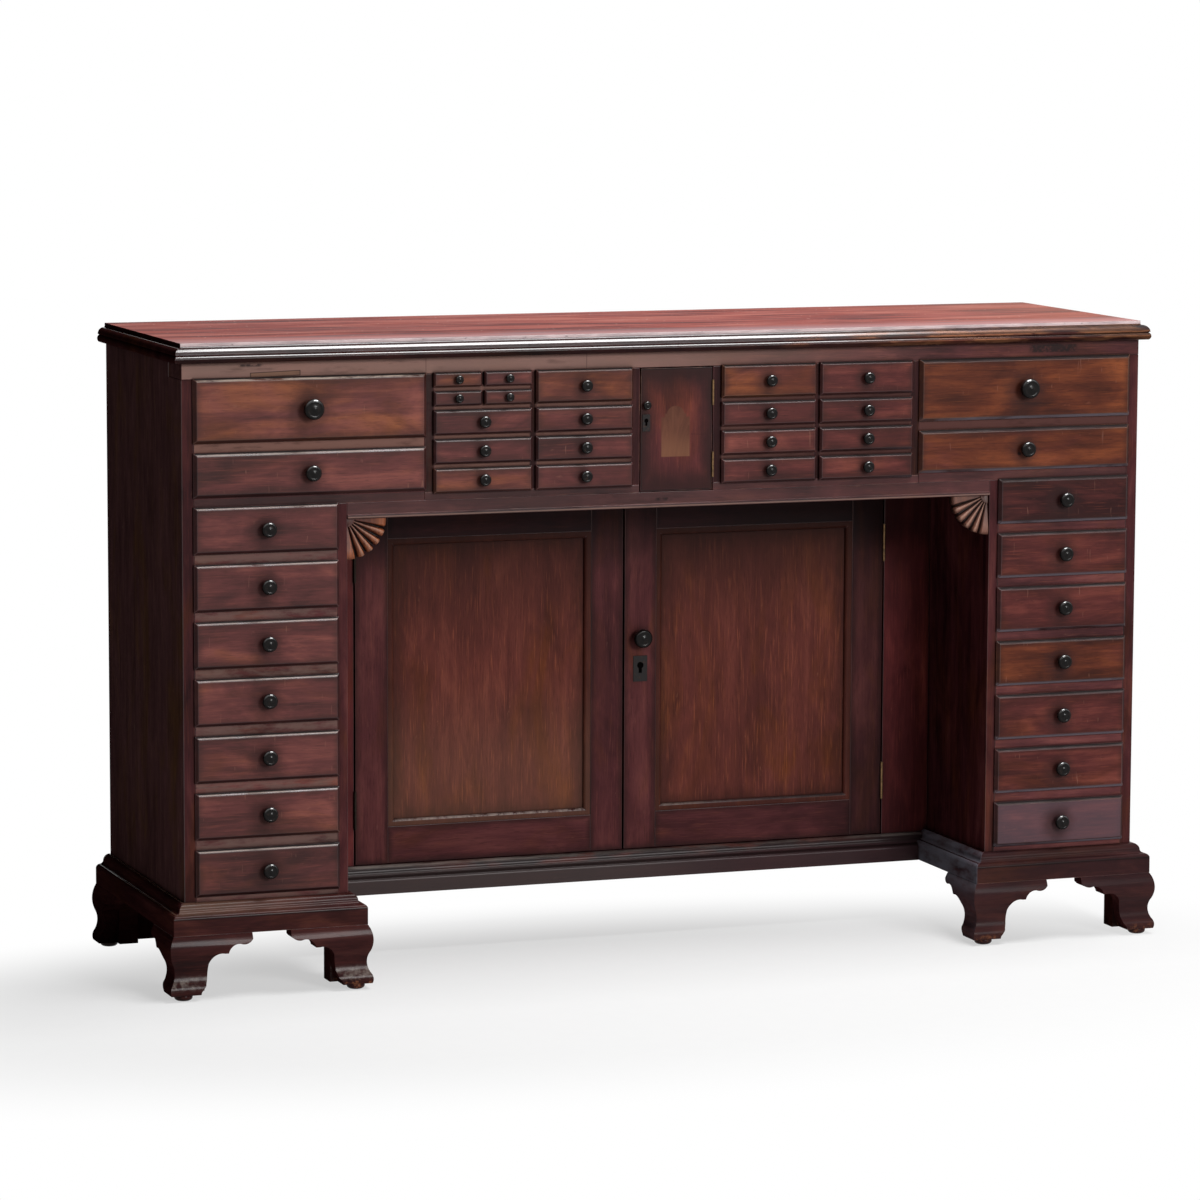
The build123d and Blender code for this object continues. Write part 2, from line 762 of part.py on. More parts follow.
def butt_hinge(x, face, level, length, gap, leaf, leaf_depth, barrel, pin):
    """A butt hinge at a gap on the right of a door: the fixed leaf with its pin, and the moving one."""
    radius, bore = barrel / 2, pin / 2 + pin_clearance
    y = face - radius - barrel_gap
    z0, z1 = level - length / 2, level + length / 2
    clear = y + radius + knuckle_gap
    jamb, door = (x + gap / 2 - leaf, x + gap / 2), (x - gap / 2, x - gap / 2 + leaf)

    def upright(shape, low, high):
        return Pos(x, y, low) * extrude(shape, high - low)

    knuckle = RegularPolygon(radius, knuckle_sides)
    hole = RegularPolygon(bore, pin_sides, major_radius=False)
    fixed = slab(*jamb, clear, face + leaf_depth, z0, z1) + slab(*jamb, y, clear, z0, level)
    fixed += upright(knuckle, z0, level)
    fixed += upright(RegularPolygon(pin / 2, pin_sides), level, z1)
    low = level + knuckle_gap
    moving = slab(*door, clear, face + leaf_depth, z0, z1)
    moving += slab(*door, y + (bore + radius) / 2, clear, low, z1)
    moving += upright(knuckle, low, z1) - upright(hole, level, z1 + overrun)
    return fixed, moving


def cupboard_hinges():
    """The fixed and the moving halves of the hinges of the right cupboard door."""
    x = door_opening_half - cupboard_hinge_gap / 2
    pairs = [
        butt_hinge(
            x, kneehole_depth, level, cupboard_hinge_length, cupboard_hinge_gap, cupboard_leaf,
            cupboard_leaf_depth, cupboard_barrel, cupboard_pin,
        )
        for level in cupboard_hinge_levels
    ]
    return [p[0] for p in pairs], [p[1] for p in pairs]


def small_door_hinges():
    """The fixed and the moving halves of the hinges of the little door."""
    x = small_cupboard_half - small_hinge_gap / 2
    pairs = [
        butt_hinge(
            x, 0, level, small_hinge_length, small_hinge_gap, small_leaf, small_leaf_depth,
            small_barrel, small_pin,
        )
        for level in small_hinge_levels
    ]
    return [p[0] for p in pairs], [p[1] for p in pairs]


def flipped(solids):
    """Mirror images of solids, on the other side of the cabinet."""
    return [mirror(s, about=Plane.YZ) for s in solids]


def case_nodes():
    """The pieces of the case that don't move."""
    return {
        "top_board": top_board(),
        "end_panels": end_panels(),
        "kneehole_cheeks": kneehole_cheeks(),
        "back_boards": back_boards(),
        "frieze_frame": frieze_frame(),
        "frieze_partitions": frieze_partitions(),
        "pedestal_boards": pedestal_boards(),
        "cupboard_surround": cupboard_surround(),
        "plinth": plinth(),
        "bracket_feet": bracket_feet(),
        "foot_pads": foot_pads(),
        "fan_spandrels": fan_spandrels(),
    }


def door_nodes():
    """The three doors with their fittings and hinges."""
    frame, panel = left_door()
    fixed, moving = cupboard_hinges()
    small_fixed, small_moving = small_door_hinges()
    return {
        "left_door_frame": frame,
        "left_door_panel": panel,
        "left_door_hinges": flipped(moving),
        "right_door_frame": flipped(frame),
        "right_door_panel": flipped(panel),
        "right_door_hinges": moving,
        "right_door_fittings": cupboard_fittings(),
        "small_door": small_door(),
        "small_door_fittings": small_door_fittings(),
        "small_door_hinges": small_moving,
        "fixed_hinges": fixed + flipped(fixed) + small_fixed,
    }


def drawer_nodes():
    """Every drawer by its name."""
    return {name: drawer(*opening, *make) for name, (opening, make) in all_openings().items()}


def main():
    """Write one file for each named piece, with y = 0 at the middle of the whole depth."""
    os.makedirs("parts", exist_ok=True)
    for name, solids in (case_nodes() | door_nodes() | drawer_nodes()).items():
        placed = [Pos(0, depth_shift, 0) * s for s in solids]
        pieces = [piece for s in placed for piece in s.solids()]
        export_step(Compound(children=pieces), f"parts/{name}.step")


if __name__ == "__main__":
    main()
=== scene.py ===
"""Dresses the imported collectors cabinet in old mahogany, ebonised knobs, iron and brass."""

import json
import math
import random
from collections import Counter
from functools import partial
from types import SimpleNamespace

import bmesh
import bpy
from mathutils import Matrix, Vector
from mathutils.kdtree import KDTree


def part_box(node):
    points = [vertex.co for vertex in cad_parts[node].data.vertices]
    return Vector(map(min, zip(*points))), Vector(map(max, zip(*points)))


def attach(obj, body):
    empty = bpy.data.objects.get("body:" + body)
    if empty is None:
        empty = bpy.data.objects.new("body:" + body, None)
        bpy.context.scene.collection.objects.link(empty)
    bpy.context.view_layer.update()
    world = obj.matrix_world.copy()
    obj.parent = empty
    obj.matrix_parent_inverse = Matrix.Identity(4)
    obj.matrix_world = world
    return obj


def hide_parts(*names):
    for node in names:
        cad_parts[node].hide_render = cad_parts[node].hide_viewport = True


bl_info = {
    "name": "Collectors Cabinet",
    "version": (1, 0, 0),
    "blender": (4, 5, 0),
    "location": "3D View > Sidebar > Cabinet",
    "description": "Dresses a kneehole collectors cabinet and sets its stage",
    "category": "Object",
}

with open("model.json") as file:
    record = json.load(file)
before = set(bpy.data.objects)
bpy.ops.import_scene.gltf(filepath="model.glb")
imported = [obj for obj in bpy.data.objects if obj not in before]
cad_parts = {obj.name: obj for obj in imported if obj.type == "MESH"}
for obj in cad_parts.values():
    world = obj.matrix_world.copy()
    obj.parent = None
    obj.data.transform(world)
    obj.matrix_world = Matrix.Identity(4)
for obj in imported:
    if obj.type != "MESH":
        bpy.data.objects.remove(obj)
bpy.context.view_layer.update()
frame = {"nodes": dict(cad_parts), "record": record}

NODES = frame["nodes"]
BODIES = frame["record"]["behaviour"]["bodies"]
BODY_OF = {node: body for body, nodes in BODIES.items() for node in nodes}
DRAWERS = sorted(node for node in NODES if "_drawer_" in node)

# Angles that part the flats, the curves and the arrises of a copied solid.
FLAT_ANGLE = math.radians(0.5)
ARRIS_ANGLE = math.radians(28)
MERGE = 1e-6

# Parts of a normal: a face that leans some way, one that faces it, and one that lies flat to it.
LEANS, FACES, FLAT = 0.3, 0.7, 0.9

# A board whose two ends lie so evenly about the middle belongs to the kneehole.
KNEEHOLE_REACH = 0.6

# Behind this depth the faces of the base count as ends.
BASE_DEPTH = 0.06

# Width of the joints between the back boards.
BACK_ARRIS = 0.0015

# Height of the slope along the top of a drawer front.
LIP_RISE = 0.004

# How far below the top the faces of its first fillet lie, and the materials of the top's faces.
TOP_FILLET = 0.003
TOP_MOULDING, TOP_END, TOP_BEAD, TOP_PALE = 2, 3, 4, 5

# How the three axes of a board are read so that its grain runs along the first one.
GRAIN_ORDER = {"x": (0, 1, 2), "y": (1, 2, 0), "z": (2, 0, 1)}

# How far a board's grain is shifted at most, how much its tone varies, the tone of the base under
# the kneehole, and the limits of a drawer front's lightness and warmth.
GRAIN_SHIFT = 9.0
BOARD_TONE = 0.07
INNER_TONE = -0.25
FRONT_LIGHTNESS = (-0.08, 0.05)
FRONT_WARMTH = (-0.6, 0.1)

# Lightness and warmth of the drawer fronts that stand out from the rest.
FRONT_TONES = {
    "left_large_drawer_1": (0.13, 0.5),
    "left_large_drawer_2": (-0.04, 0.05),
    "right_large_drawer_1": (0.06, 1.4),
    "right_large_drawer_2": (0.03, 1.00),
    "right_inner_drawer_1": (0.2, 0.45),
    "left_inner_drawer_1": (0.18, 0.35),
    "right_pedestal_drawer_4": (-0.07, 0.95),
    "right_pedestal_drawer_1": (-0.38, -0.2),
    "right_outer_drawer_2": (-0.02, -0.1),
    "tiny_drawer_1": (0.15, 0.45),
    "left_outer_drawer_4": (0.12, 0.35),
    "left_pedestal_drawer_7": (-0.26, -0.1),
    "right_outer_drawer_3": (-0.05, 0.1),
    "left_inner_drawer_3": (-0.08, -0.4),
    "right_pedestal_drawer_7": (-0.14, -0.5),
}

# Marks of age and where they reach in x and in z: a small hole in a drawer front, the ghost of a
# plate on the small door and a crack beside it.
WORM_HOLE = (0.4896, 0.6641)
GHOST_BODY = ((-0.021, 0.0187), (0.6747, 0.7265))
GHOST_SHOULDERS = ((-0.016, 0.0137), (0.72, 0.731))
GHOST_HEAD = (-0.0012, 0.7285)
GHOST_ROUND = (0.012, 0.0132)
CRACK = ((0.02, 0.043), (0.7035, 0.7039))

# Marks on the rails: a strip let in and its dark rim, joints, and a chip, a burn and a patch, each
# with the softness of its ends. The heights of the painted highlight on the apron's bead and of
# the painted shade in its groove above.
REPAIR = ((-0.577, -0.5125), (0.794, 0.799))
REPAIR_RIM = ((-0.578, -0.5115), (0.7931, 0.7999))
RAIL_JOINTS = (-0.125, -0.344)
RAIL_BURNS = (
    (((-0.592, -0.563), (0.8065, 0.81)), 0.004),
    (((-0.028, -0.006), (0.6175, 0.6215)), 0.003),
    (((0.507, 0.576), (0.7985, 0.809)), 0.004),
)
APRON_HIGHLIGHT = (0.6096, 0.611)
APRON_GROOVE_SHADE = (0.6116, 0.6126)

# Turned profiles: pairs of radius and height from the seat, as shares of the diameter.
KNOB_PROFILE = (
    (0.0, 0.0), (0.3, 0.0), (0.3, 0.04), (0.24, 0.08), (0.21, 0.15), (0.23, 0.22), (0.33, 0.27),
    (0.44, 0.3), (0.49, 0.36), (0.5, 0.43), (0.49, 0.51), (0.455, 0.575), (0.4, 0.615),
    (0.36, 0.628), (0.335, 0.618), (0.3, 0.612), (0.2, 0.622), (0.13, 0.63), (0.11, 0.648),
    (0.06, 0.66), (0.0, 0.662),
)
PAD_PROFILE = (
    (0.0, 0.0), (0.46, 0.0), (0.49, 0.08), (0.5, 0.18), (0.485, 0.28), (0.44, 0.37), (0.36, 0.44),
    (0.24, 0.48), (0.0, 0.49),
)

# A fan: its ribs, the steps across one rib and along it, and its ground's depth behind the relief.
FAN_RIBS = 6
FAN_STEPS = 16
FAN_RINGS = 12
FAN_GROUND = 0.006

# Across a rib: where its crest lies, how wide its groove is, the height of the flat end ribs, the
# height under which it counts as groove and how far a groove reaches.
FAN_CREST = 0.36
FAN_GROOVE = 0.24
FLAT_RIB = 0.8
GROOVE_HEIGHT = 0.2
GROOVE_REACH = 0.94

# Along a rib: its height at the hub, where its rim begins to droop and by how much.
RIB_START = 0.3
FAN_RIM = 0.86
FAN_DROOP = 0.2

# The hub of a fan: its radius, where the ribs start inside it, its relief, its steps, soft edge and
# its height in the carving's colour.
FAN_HUB_SHARE = 0.21
RIB_ROOT = 0.8
HUB_RELIEF = 0.5
HUB_STEPS = 64
HUB_ARRIS = 0.08
HUB_CROWN = 0.55

# Sides of the dark leaf of painted shade behind a keyhole, as shares of its plate's.
KEYHOLE_SHARES = (0.7, 0.3, 0.8)

# The studio: half the floor's side, the shadow's middle and reach on it, and the camera's limits.
FLOOR_REACH = 60.0
SHADOW_MIDDLE = (-0.18, -0.315)
SHADOW_REACH = (0.9, 0.437)
SENSOR = 36.0
VIEW_REACH = 300.0

# The two soft lights: their places, the points they aim at, and their widths and heights.
KEY_LIGHT = ((2.4, -7.8, 3.1), (0.0, 0.0, 0.45), (2.4, 2.4))
TOP_LIGHT = ((0.72, -0.6, 3.2), (0.72, -0.59, 0.4), (1.45, 1.9))


def number(name, about, default, low=0.0, **settings):
    """A number in the panel."""
    return bpy.props.FloatProperty(
        name=name, description=about, default=default, min=low, **settings
    )


def length(name, about, default, low):
    """A short length in the panel."""
    return number(name, about, default, low, unit="LENGTH", precision=5)


def angle(name, about, degrees):
    """An angle in the panel."""
    return bpy.props.FloatProperty(
        name=name, description=about, default=math.radians(degrees), subtype="ANGLE"
    )


def paint(name, about, default):
    """A colour in the panel."""
    return bpy.props.FloatVectorProperty(
        name=name, description=about, default=default, subtype="COLOR", min=0, max=1
    )


class CabinetSizes(bpy.types.PropertyGroup):
    """Sizes of the softened edges and of the turned work."""

    arris: length("Arris", "Width of the worn edges of the case", 0.0008, 0.0001)
    front_arris: length(
        "Front arris", "Width of the worn edges of drawer fronts and doors", 0.0006, 0.0001
    )
    metal_arris: length(
        "Metal arris", "Width of the broken edges of iron and brass", 0.00012, 0.00002
    )
    knob_steps: bpy.props.IntProperty(
        name="Knob steps", description="Steps round one turned knob", default=32, min=12
    )


class CabinetColours(bpy.types.PropertyGroup):
    """Colours of the woods and metals."""

    mahogany_dark: paint(
        "Mahogany, dark", "Darkest streaks of the mahogany", (0.026, 0.0085, 0.008)
    )
    mahogany: paint("Mahogany", "Middle tone of the mahogany", (0.098, 0.034, 0.027))
    mahogany_light: paint(
        "Mahogany, light", "Palest streaks of the mahogany", (0.255, 0.106, 0.068)
    )
    fleck: paint("Fleck", "Short pale flecks along the grain", (0.2, 0.078, 0.043))
    worn: paint("Worn edge", "Wood where the polish is rubbed away", (0.27, 0.125, 0.085))
    lining: paint("Drawer lining", "Unpolished wood of the drawer boxes", (0.24, 0.118, 0.066))
    ebony: paint("Ebonised wood", "Black stain of the knobs", (0.006, 0.0052, 0.005))
    brass: paint("Brass", "Old brass of the hinges", (0.18, 0.105, 0.05))


class CabinetStage(bpy.types.PropertyGroup):
    """The light and the camera."""

    key_power: number("Key", "Power of the large soft light in front", 430.0, unit="POWER")
    top_power: number("Top", "Power of the soft light overhead", 135.0, unit="POWER")
    ambient: number("Ambient", "Level of the light from all round", 0.05, max=1)
    lens: number("Lens", "Focal length on a 36 mm sensor", 149.08, 1.0, unit="CAMERA")
    eye: bpy.props.FloatVectorProperty(
        name="Eye", description="Place of the camera from the foot of the case's front",
        subtype="TRANSLATION", unit="LENGTH", default=(-2.33056, -6.02857, 1.32355),
    )
    yaw: angle("Yaw", "Turn of the camera to the right", 20.259)
    pitch: angle("Pitch", "Tilt of the camera, down is negative", -7.391)
    roll: angle("Roll", "Roll of the camera", 0.22)


def maths(operation, swapped=False):
    """A method that adds a maths node, its sides swapped for a number on the left."""
    def method(self, other=0.0):
        sides = (other, self) if swapped else (self, other)
        return self.shader.add("ShaderNodeMath", dict(enumerate(sides)), operation=operation)
    return method


class Value:
    """A shader socket that takes part in Python sums."""

    def __init__(self, shader, socket):
        self.shader = shader
        self.socket = socket

    __add__ = maths("ADD")
    __radd__ = maths("ADD", True)
    __sub__ = maths("SUBTRACT")
    __rsub__ = maths("SUBTRACT", True)
    __mul__ = maths("MULTIPLY")
    __truediv__ = maths("DIVIDE")
    __pow__ = maths("POWER")
    __gt__ = maths("GREATER_THAN")
    __lt__ = maths("LESS_THAN")
    least = maths("MINIMUM")
    most = maths("MAXIMUM")
    size = maths("ABSOLUTE")


class Shader:
    """The node tree of one material or of the world."""

    def __init__(self, tree):
        self.tree = tree
        tree.nodes.clear()

    def add(self, kind, sockets=None, output=0, **settings):
        """Adds a node, its settings first and then its sockets, and gives one of its outputs."""
        node = self.tree.nodes.new(kind)
        for name, setting in settings.items():
            setattr(node, name, setting)
        for name, given in (sockets or {}).items():
            if isinstance(given, Value):
                self.tree.links.new(given.socket, node.inputs[name])
            elif given is not None:
                node.inputs[name].default_value = given
        return Value(self, node.outputs[output]) if len(node.outputs) else None

    def noise(self, vector, scale, detail=2.0, roughness=0.5, distortion=0.0):
        scaled = self.add("ShaderNodeVectorMath", {0: vector, 1: scale}, operation="MULTIPLY")
        return self.add(
            "ShaderNodeTexNoise",
            {
                "Vector": scaled, "Scale": 1.0, "Detail": detail,
                "Roughness": roughness, "Distortion": distortion,
            },
        )

    def step(self, value, low, high):
        """A smooth step from 0 at low to 1 at high."""
        return self.add(
            "ShaderNodeMapRange", {"Value": value, "From Min": low, "From Max": high},
            interpolation_type="SMOOTHSTEP",
        )

    def inside(self, value, low, high, soft):
        """1 between two limits and 0 outside them, with soft edges."""
        middle, half = (low + high) / 2, (high - low) / 2
        return 1 - self.step((value - middle).size(), half - soft, half + soft)

    def within(self, x, z, reach, soft_x, soft_z):
        """1 inside a mark that reaches so far in x and in z, with soft edges."""
        return self.inside(x, *reach[0], soft_x) * self.inside(z, *reach[1], soft_z)

    def mix(self, factor, first, second, blend="MIX"):
        first, second = (
            (*tone, 1.0) if isinstance(tone, tuple) else tone for tone in (first, second)
        )
        return self.add(
            "ShaderNodeMix", {0: factor, 6: first, 7: second}, 2, data_type="RGBA", blend_type=blend
        )

    def tinted(self, tone, tint):
        return self.mix(1.0, tone, tint, "MULTIPLY")

    def layers(self, tone, *laid):
        """A colour under layers, each of a mask and a colour of its own."""
        for mask, over in laid:
            tone = self.mix(mask, tone, over)
        return tone

    def ramp(self, value, *stops):
        """A colour from a ramp of places and their colours."""
        ramp = self.add("ShaderNodeValToRGB", {"Fac": value})
        elements = ramp.socket.node.color_ramp.elements
        while len(elements) < len(stops):
            elements.new(1.0)
        for element, (place, tone) in zip(elements, stops):
            element.position = place
            element.color = (*tone, 1.0)
        return ramp

    def bump(self, height, strength, distance):
        return self.add(
            "ShaderNodeBump", {"Height": height, "Strength": strength, "Distance": distance}
        )

    def attribute(self, name, output):
        return self.add("ShaderNodeAttribute", None, output, attribute_name=name)

    def parts(self, vector):
        return [self.add("ShaderNodeSeparateXYZ", {0: vector}, i) for i in range(3)]

    def place(self):
        """Object coordinates and their three parts."""
        where = self.add("ShaderNodeTexCoord", None, "Object")
        return where, self.parts(where)

    def surface(self, tone, rough, normal=None, specular=0.5, **sockets):
        """Ends the tree in a Principled surface; underscores in a name stand for spaces."""
        named = {name.replace("_", " "): given for name, given in sockets.items()}
        named |= {"Base Color": tone, "Roughness": rough, "Normal": normal}
        named["Specular IOR Level"] = specular
        shader = self.add("ShaderNodeBsdfPrincipled", named)
        self.add("ShaderNodeOutputMaterial", {"Surface": shader})


def colour(name):
    return tuple(getattr(bpy.context.scene.cabinet_colours, name))


def times(tone, factor):
    return tuple(c * factor for c in tone)


def darkest(share):
    """A share of the mahogany's darkest colour, for pores, old polish, stains, grime and painted
    shade.
    """
    return times(colour("mahogany_dark"), share)


def away(a, b):
    """How far two offsets at right angles lead together."""
    return (a ** 2.0 + b ** 2.0) ** 0.5


def finish(name, make, *args, **settings):
    """A material by name, made the first time that it is asked for."""
    material = bpy.data.materials.get(name)
    if material is None:
        material = bpy.data.materials.new(name)
        material.use_nodes = True
        make(Shader(material.node_tree), *args, **settings)
    return material


def wood_noise(s):
    """A board's own grain, and the streaks, clouds and pores along it."""
    grain = s.attribute("grain", "Vector")
    return SimpleNamespace(
        grain=grain,
        streaks=s.noise(grain, (9, 330, 330), 4.0, 0.6, 0.2),
        clouds=s.noise(grain, (5, 15, 15), 4.0, 0.6, 0.9),
        pores=s.noise(grain, (70, 1900, 1900), 1.0),
    )


def mahogany_grain(s, depth=1.0, flecked=0.35):
    """The colour of mahogany, with figure, blotches, flecks and pores, and its noise."""
    noise = wood_noise(s)
    figure = s.noise(noise.grain, (4, 62, 62), 4.0, 0.6, 0.7)
    blotches = s.noise(noise.grain, (8, 24, 24), 4.0, 0.55, 0.8)
    shade = 0.42 + (figure - 0.5) * (0.9 * depth) + (blotches - 0.5) * (1.5 * depth)
    shade = shade + (noise.streaks - 0.5) * (0.3 * depth) + s.attribute("tone", "Fac")
    wood = s.ramp(
        shade, (0.05, darkest(1.0)), (0.45, colour("mahogany")), (0.95, colour("mahogany_light"))
    )
    flecks = s.step(s.noise(noise.grain, (24, 520, 520), 2.0, 0.55), 0.54, 0.74)
    wood = s.mix(flecks * flecked, wood, colour("fleck"))
    crimson = s.tinted(wood, (1.01, 0.79, 1.04))
    orange = s.tinted(wood, (1.08, 0.88, 0.52))
    warmth = s.attribute("warmth", "Fac")
    wood = s.mix(s.step(noise.clouds + warmth * 0.3, 0.45, 0.8), crimson, orange)
    wood = s.mix(s.step(noise.pores, 0.56, 0.72) * 0.5, wood, darkest(1.0))
    return wood, noise


def front_place(s):
    """A point on the front of an upright board: offsets from the middle, and half sizes."""
    across, _, up = s.parts(s.attribute("offset", "Vector"))
    half_width, _, half_height = s.parts(s.attribute("half", "Vector"))
    return across, up, half_width, half_height


def edge_inset(s):
    """How far a point of an upright board lies from the nearest edge of its front."""
    across, up, half_width, half_height = front_place(s)
    return (half_width - across.size()).least(half_height - up.size())


def dirt_sheen_and_shade(s, wood):
    """A painted sheen greying the fronts on the left and lying low on the right, painted shade
    deepening them on the right, and round the knob hand grime with the knob's painted shadow.
    """
    where, (x, _, z) = s.place()
    right = s.step(x, -0.45, 0.55)
    # Painted sheen: a grey veil over the fronts on the left.
    wood = s.mix((1 - right) * 0.07, wood, (0.23, 0.165, 0.15))
    wood = s.tinted(wood, (0.91, 0.82, 0.775))
    # Painted shade: the fronts deepened towards the right.
    deep = s.tinted(wood, (0.81, 0.7, 0.63))
    # Painted sheen low on the right pedestal.
    sheen = s.step(x, 0.4, 0.46) * (1 - s.step(z, 0.19, 0.2))
    scratches = s.step(s.noise(where, (260, 260, 26), 2.0, 0.6, 0.6), 0.69, 0.74)
    hole = away(x - WORM_HOLE[0], z - WORM_HOLE[1])
    across, up, _, half_height = front_place(s)
    # Round the knob, set off to the left and down: hand grime and the knob's painted shadow.
    out = away(across + half_height * 0.12, up + half_height * 0.08) / half_height
    smears = s.noise(s.attribute("grain", "Vector"), (60, 110, 110), 3.0, 0.6)
    dirt_and_shade = 1 - s.step(out + (smears - 0.5) * 0.5, 0.35, 1.05)
    return s.layers(
        wood,
        (right, deep),
        (sheen * 0.4, (0.12, 0.085, 0.105)),
        (scratches * 0.3, colour("worn")),
        (1 - s.step(hole, 0.0016, 0.0032), (0.004, 0.002, 0.002)),
        (dirt_and_shade * 0.6, darkest(0.8)),
    )


def rails_wear_and_sheen(s, wood):
    """Rails greyed in blots on the left: worn, and a painted sheen."""
    where, (x, _, _) = s.place()
    blots = s.noise(where, (30, 60, 90), 4.0, 0.65)
    left = 1 - s.step(x, -0.45, -0.2)
    return s.mix(left * s.step(blots, 0.3, 0.6) * 0.6, wood, (0.15, 0.096, 0.08))


def pale_dividers(s, wood):
    """Frieze partitions: uprights darkened with painted shade, and dividers worn pale, most on the
    left with a painted sheen.
    """
    where, (x, _, _) = s.place()
    _, _, half_width, half_height = front_place(s)
    # Painted shade: the uprights between the drawers' lips darkened.
    upright = s.tinted(rails_wear_and_sheen(s, wood), (0.29, 0.3, 0.31))
    worn = s.noise(where, (26, 60, 120), 4.0, 0.65)
    # Painted sheen: the dividers paler on the left than on the right.
    pale = s.mix(s.step(x, -0.2, 0.25), (0.228, 0.114, 0.09), (0.104, 0.042, 0.036))
    pale = s.mix(s.step(worn, 0.5, 0.75) * 0.5, pale, darkest(0.8))
    return s.mix((half_width > half_height) * 0.8, upright, pale)


def kneehole_shade(s, wood):
    """Doors and jambs, darkened with painted shade under the head, at the foot, on the right
    and on the left jamb.
    """
    where, (x, _, z) = s.place()
    low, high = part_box("right_door_frame")
    up = (z - low.z) / (high.z - low.z)
    # Noise that breaks the edge of the painted shade under the head.
    shade_noise = (s.noise(where, (9, 9, 9), 3.0, 0.6) - 0.5) * 0.3
    head = s.step(up + shade_noise + s.step(x, -0.1, 0.4) * 0.12, 0.68, 1.02)
    foot = 1 - s.step(up, 0.0, 0.2)
    right = s.step(x, 0.24, 0.37) * ((up - 0.45).size() * 0.7 + 0.43)
    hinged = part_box("left_door_frame")[0].x
    left = 1 - s.step(x, hinged - 0.002, hinged + 0.001)
    dark = (head * 0.9).most(foot * 0.12).most(right).most(left * 0.52)
    return s.mix(dark, wood, (0.006, 0.0022, 0.0028))


def shaded_head(s, wood):
    """A door panel, its head darkened with painted shade, most on the right; its left foot
    lightened with painted light.
    """
    _, (x, _, z) = s.place()
    low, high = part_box("left_door_panel")
    up = (z - low.z) / (high.z - low.z)
    right = s.step(x, -0.1, 0.1)
    # Painted light: the left panel paler towards its foot.
    lit_foot = (1 - s.step(up, 0.15, 0.55)) * (1 - right)
    wood = s.mix(lit_foot * 0.11, wood, (0.26, 0.18, 0.165))
    return s.mix(s.step(up, 0.55, 1.0) * (0.62 + right * 0.14), wood, darkest(0.6))


def shield_mark(s, wood):
    """The ghost of a lost plate on the small door, borders darkened and edged in black with painted
    shade, and a fine crack.
    """
    where, (x, _, z) = s.place()
    low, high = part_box("small_door")
    middle, half = (low + high) / 2, (high - low) / 2
    edge = ((x - middle.x).size() / half.x).most((z - middle.z).size() / half.z)
    blots = s.noise(where, (30, 30, 30), 3.0, 0.6)
    mark = 1 - s.step(away(x - GHOST_HEAD[0], z - GHOST_HEAD[1]), *GHOST_ROUND)
    for reach in (GHOST_BODY, GHOST_SHOULDERS):
        mark = mark.most(s.within(x, z, reach, 0.0006, 0.0006))
    veins = s.noise(where, (60, 60, 14), 4.0, 0.7, 1.5)
    pale = s.mix(s.step(veins, 0.2, 0.8), (0.066, 0.03, 0.017), (0.13, 0.064, 0.035))
    pale = s.mix((1 - s.step(z, 0.68, 0.715)) * 0.4, pale, (0.24, 0.138, 0.072))
    crack = s.within(x, z + (x - CRACK[0][0]) * 0.05, CRACK, 0.002, 0.0003)
    return s.layers(
        wood,
        # Painted shade: the borders darkened, and a black line round the door's edge.
        (s.step(edge + (blots - 0.5) * 0.4, 0.35, 0.95) * 0.92, darkest(0.7)),
        (1 - s.step(edge_inset(s), 0.0008, 0.0024), (0.003, 0.002, 0.002)),
        (mark * 0.9, pale),
        (crack * 0.8, (0.012, 0.004, 0.003)),
    )


def rail_marks(s, wood):
    """A repair let into the top rail, its joints, a chip, a burn and a patch; the top rail pale on
    the left as painted light, the apron darker, and a painted highlight on its bead below painted
    shade in its groove.
    """
    where, (x, y, z) = s.place()
    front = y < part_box("frieze_frame")[0].y + 0.004
    sloped = z - (x + 0.545) * 0.03
    joints = [s.inside(x, at - 0.0003, at + 0.0003, 0.0003) * (z > 0.79) for at in RAIL_JOINTS]
    chip, burn, patch = (s.within(x, z, reach, soft, 0.0015) for reach, soft in RAIL_BURNS)
    blots = s.noise(where, (160, 160, 160), 4.0, 0.7)
    burnt = chip.most(burn).most(patch) * s.step(blots, 0.35, 0.55)
    stains = s.step(s.noise(where, (9, 30, 40), 4.0, 0.7), 0.55, 0.72)
    laid = (
        # Painted light: the top rail pale on the left.
        ((z > 0.78) * (1 - s.step(x, -0.17, 0.45)) * 0.66, (0.32, 0.19, 0.155)),
        # The apron darker, less so on the right.
        ((z < 0.64) * (0.62 - s.step(x, -0.2, 0.4) * 0.2), (0.034, 0.021, 0.02)),
        # Painted highlight along the apron's bead, and painted shade in the groove above it.
        (s.inside(z, *APRON_HIGHLIGHT, 0.0005) * 0.55, (0.3, 0.2, 0.16)),
        (s.inside(z, *APRON_GROOVE_SHADE, 0.0004) * 0.7, (0.006, 0.004, 0.004)),
        (s.within(x, sloped, REPAIR_RIM, 0.0004, 0.0004) * 0.9, (0.01, 0.004, 0.003)),
        (s.within(x, sloped, REPAIR, 0.0004, 0.0004), (0.2, 0.105, 0.07)),
        *((joint * 0.8, (0.012, 0.005, 0.004)) for joint in joints),
        (burnt * 0.85, (0.006, 0.004, 0.004)),
        (stains * 0.4, darkest(0.5)),
    )
    return s.layers(wood, *((mask * front, tone) for mask, tone in laid))


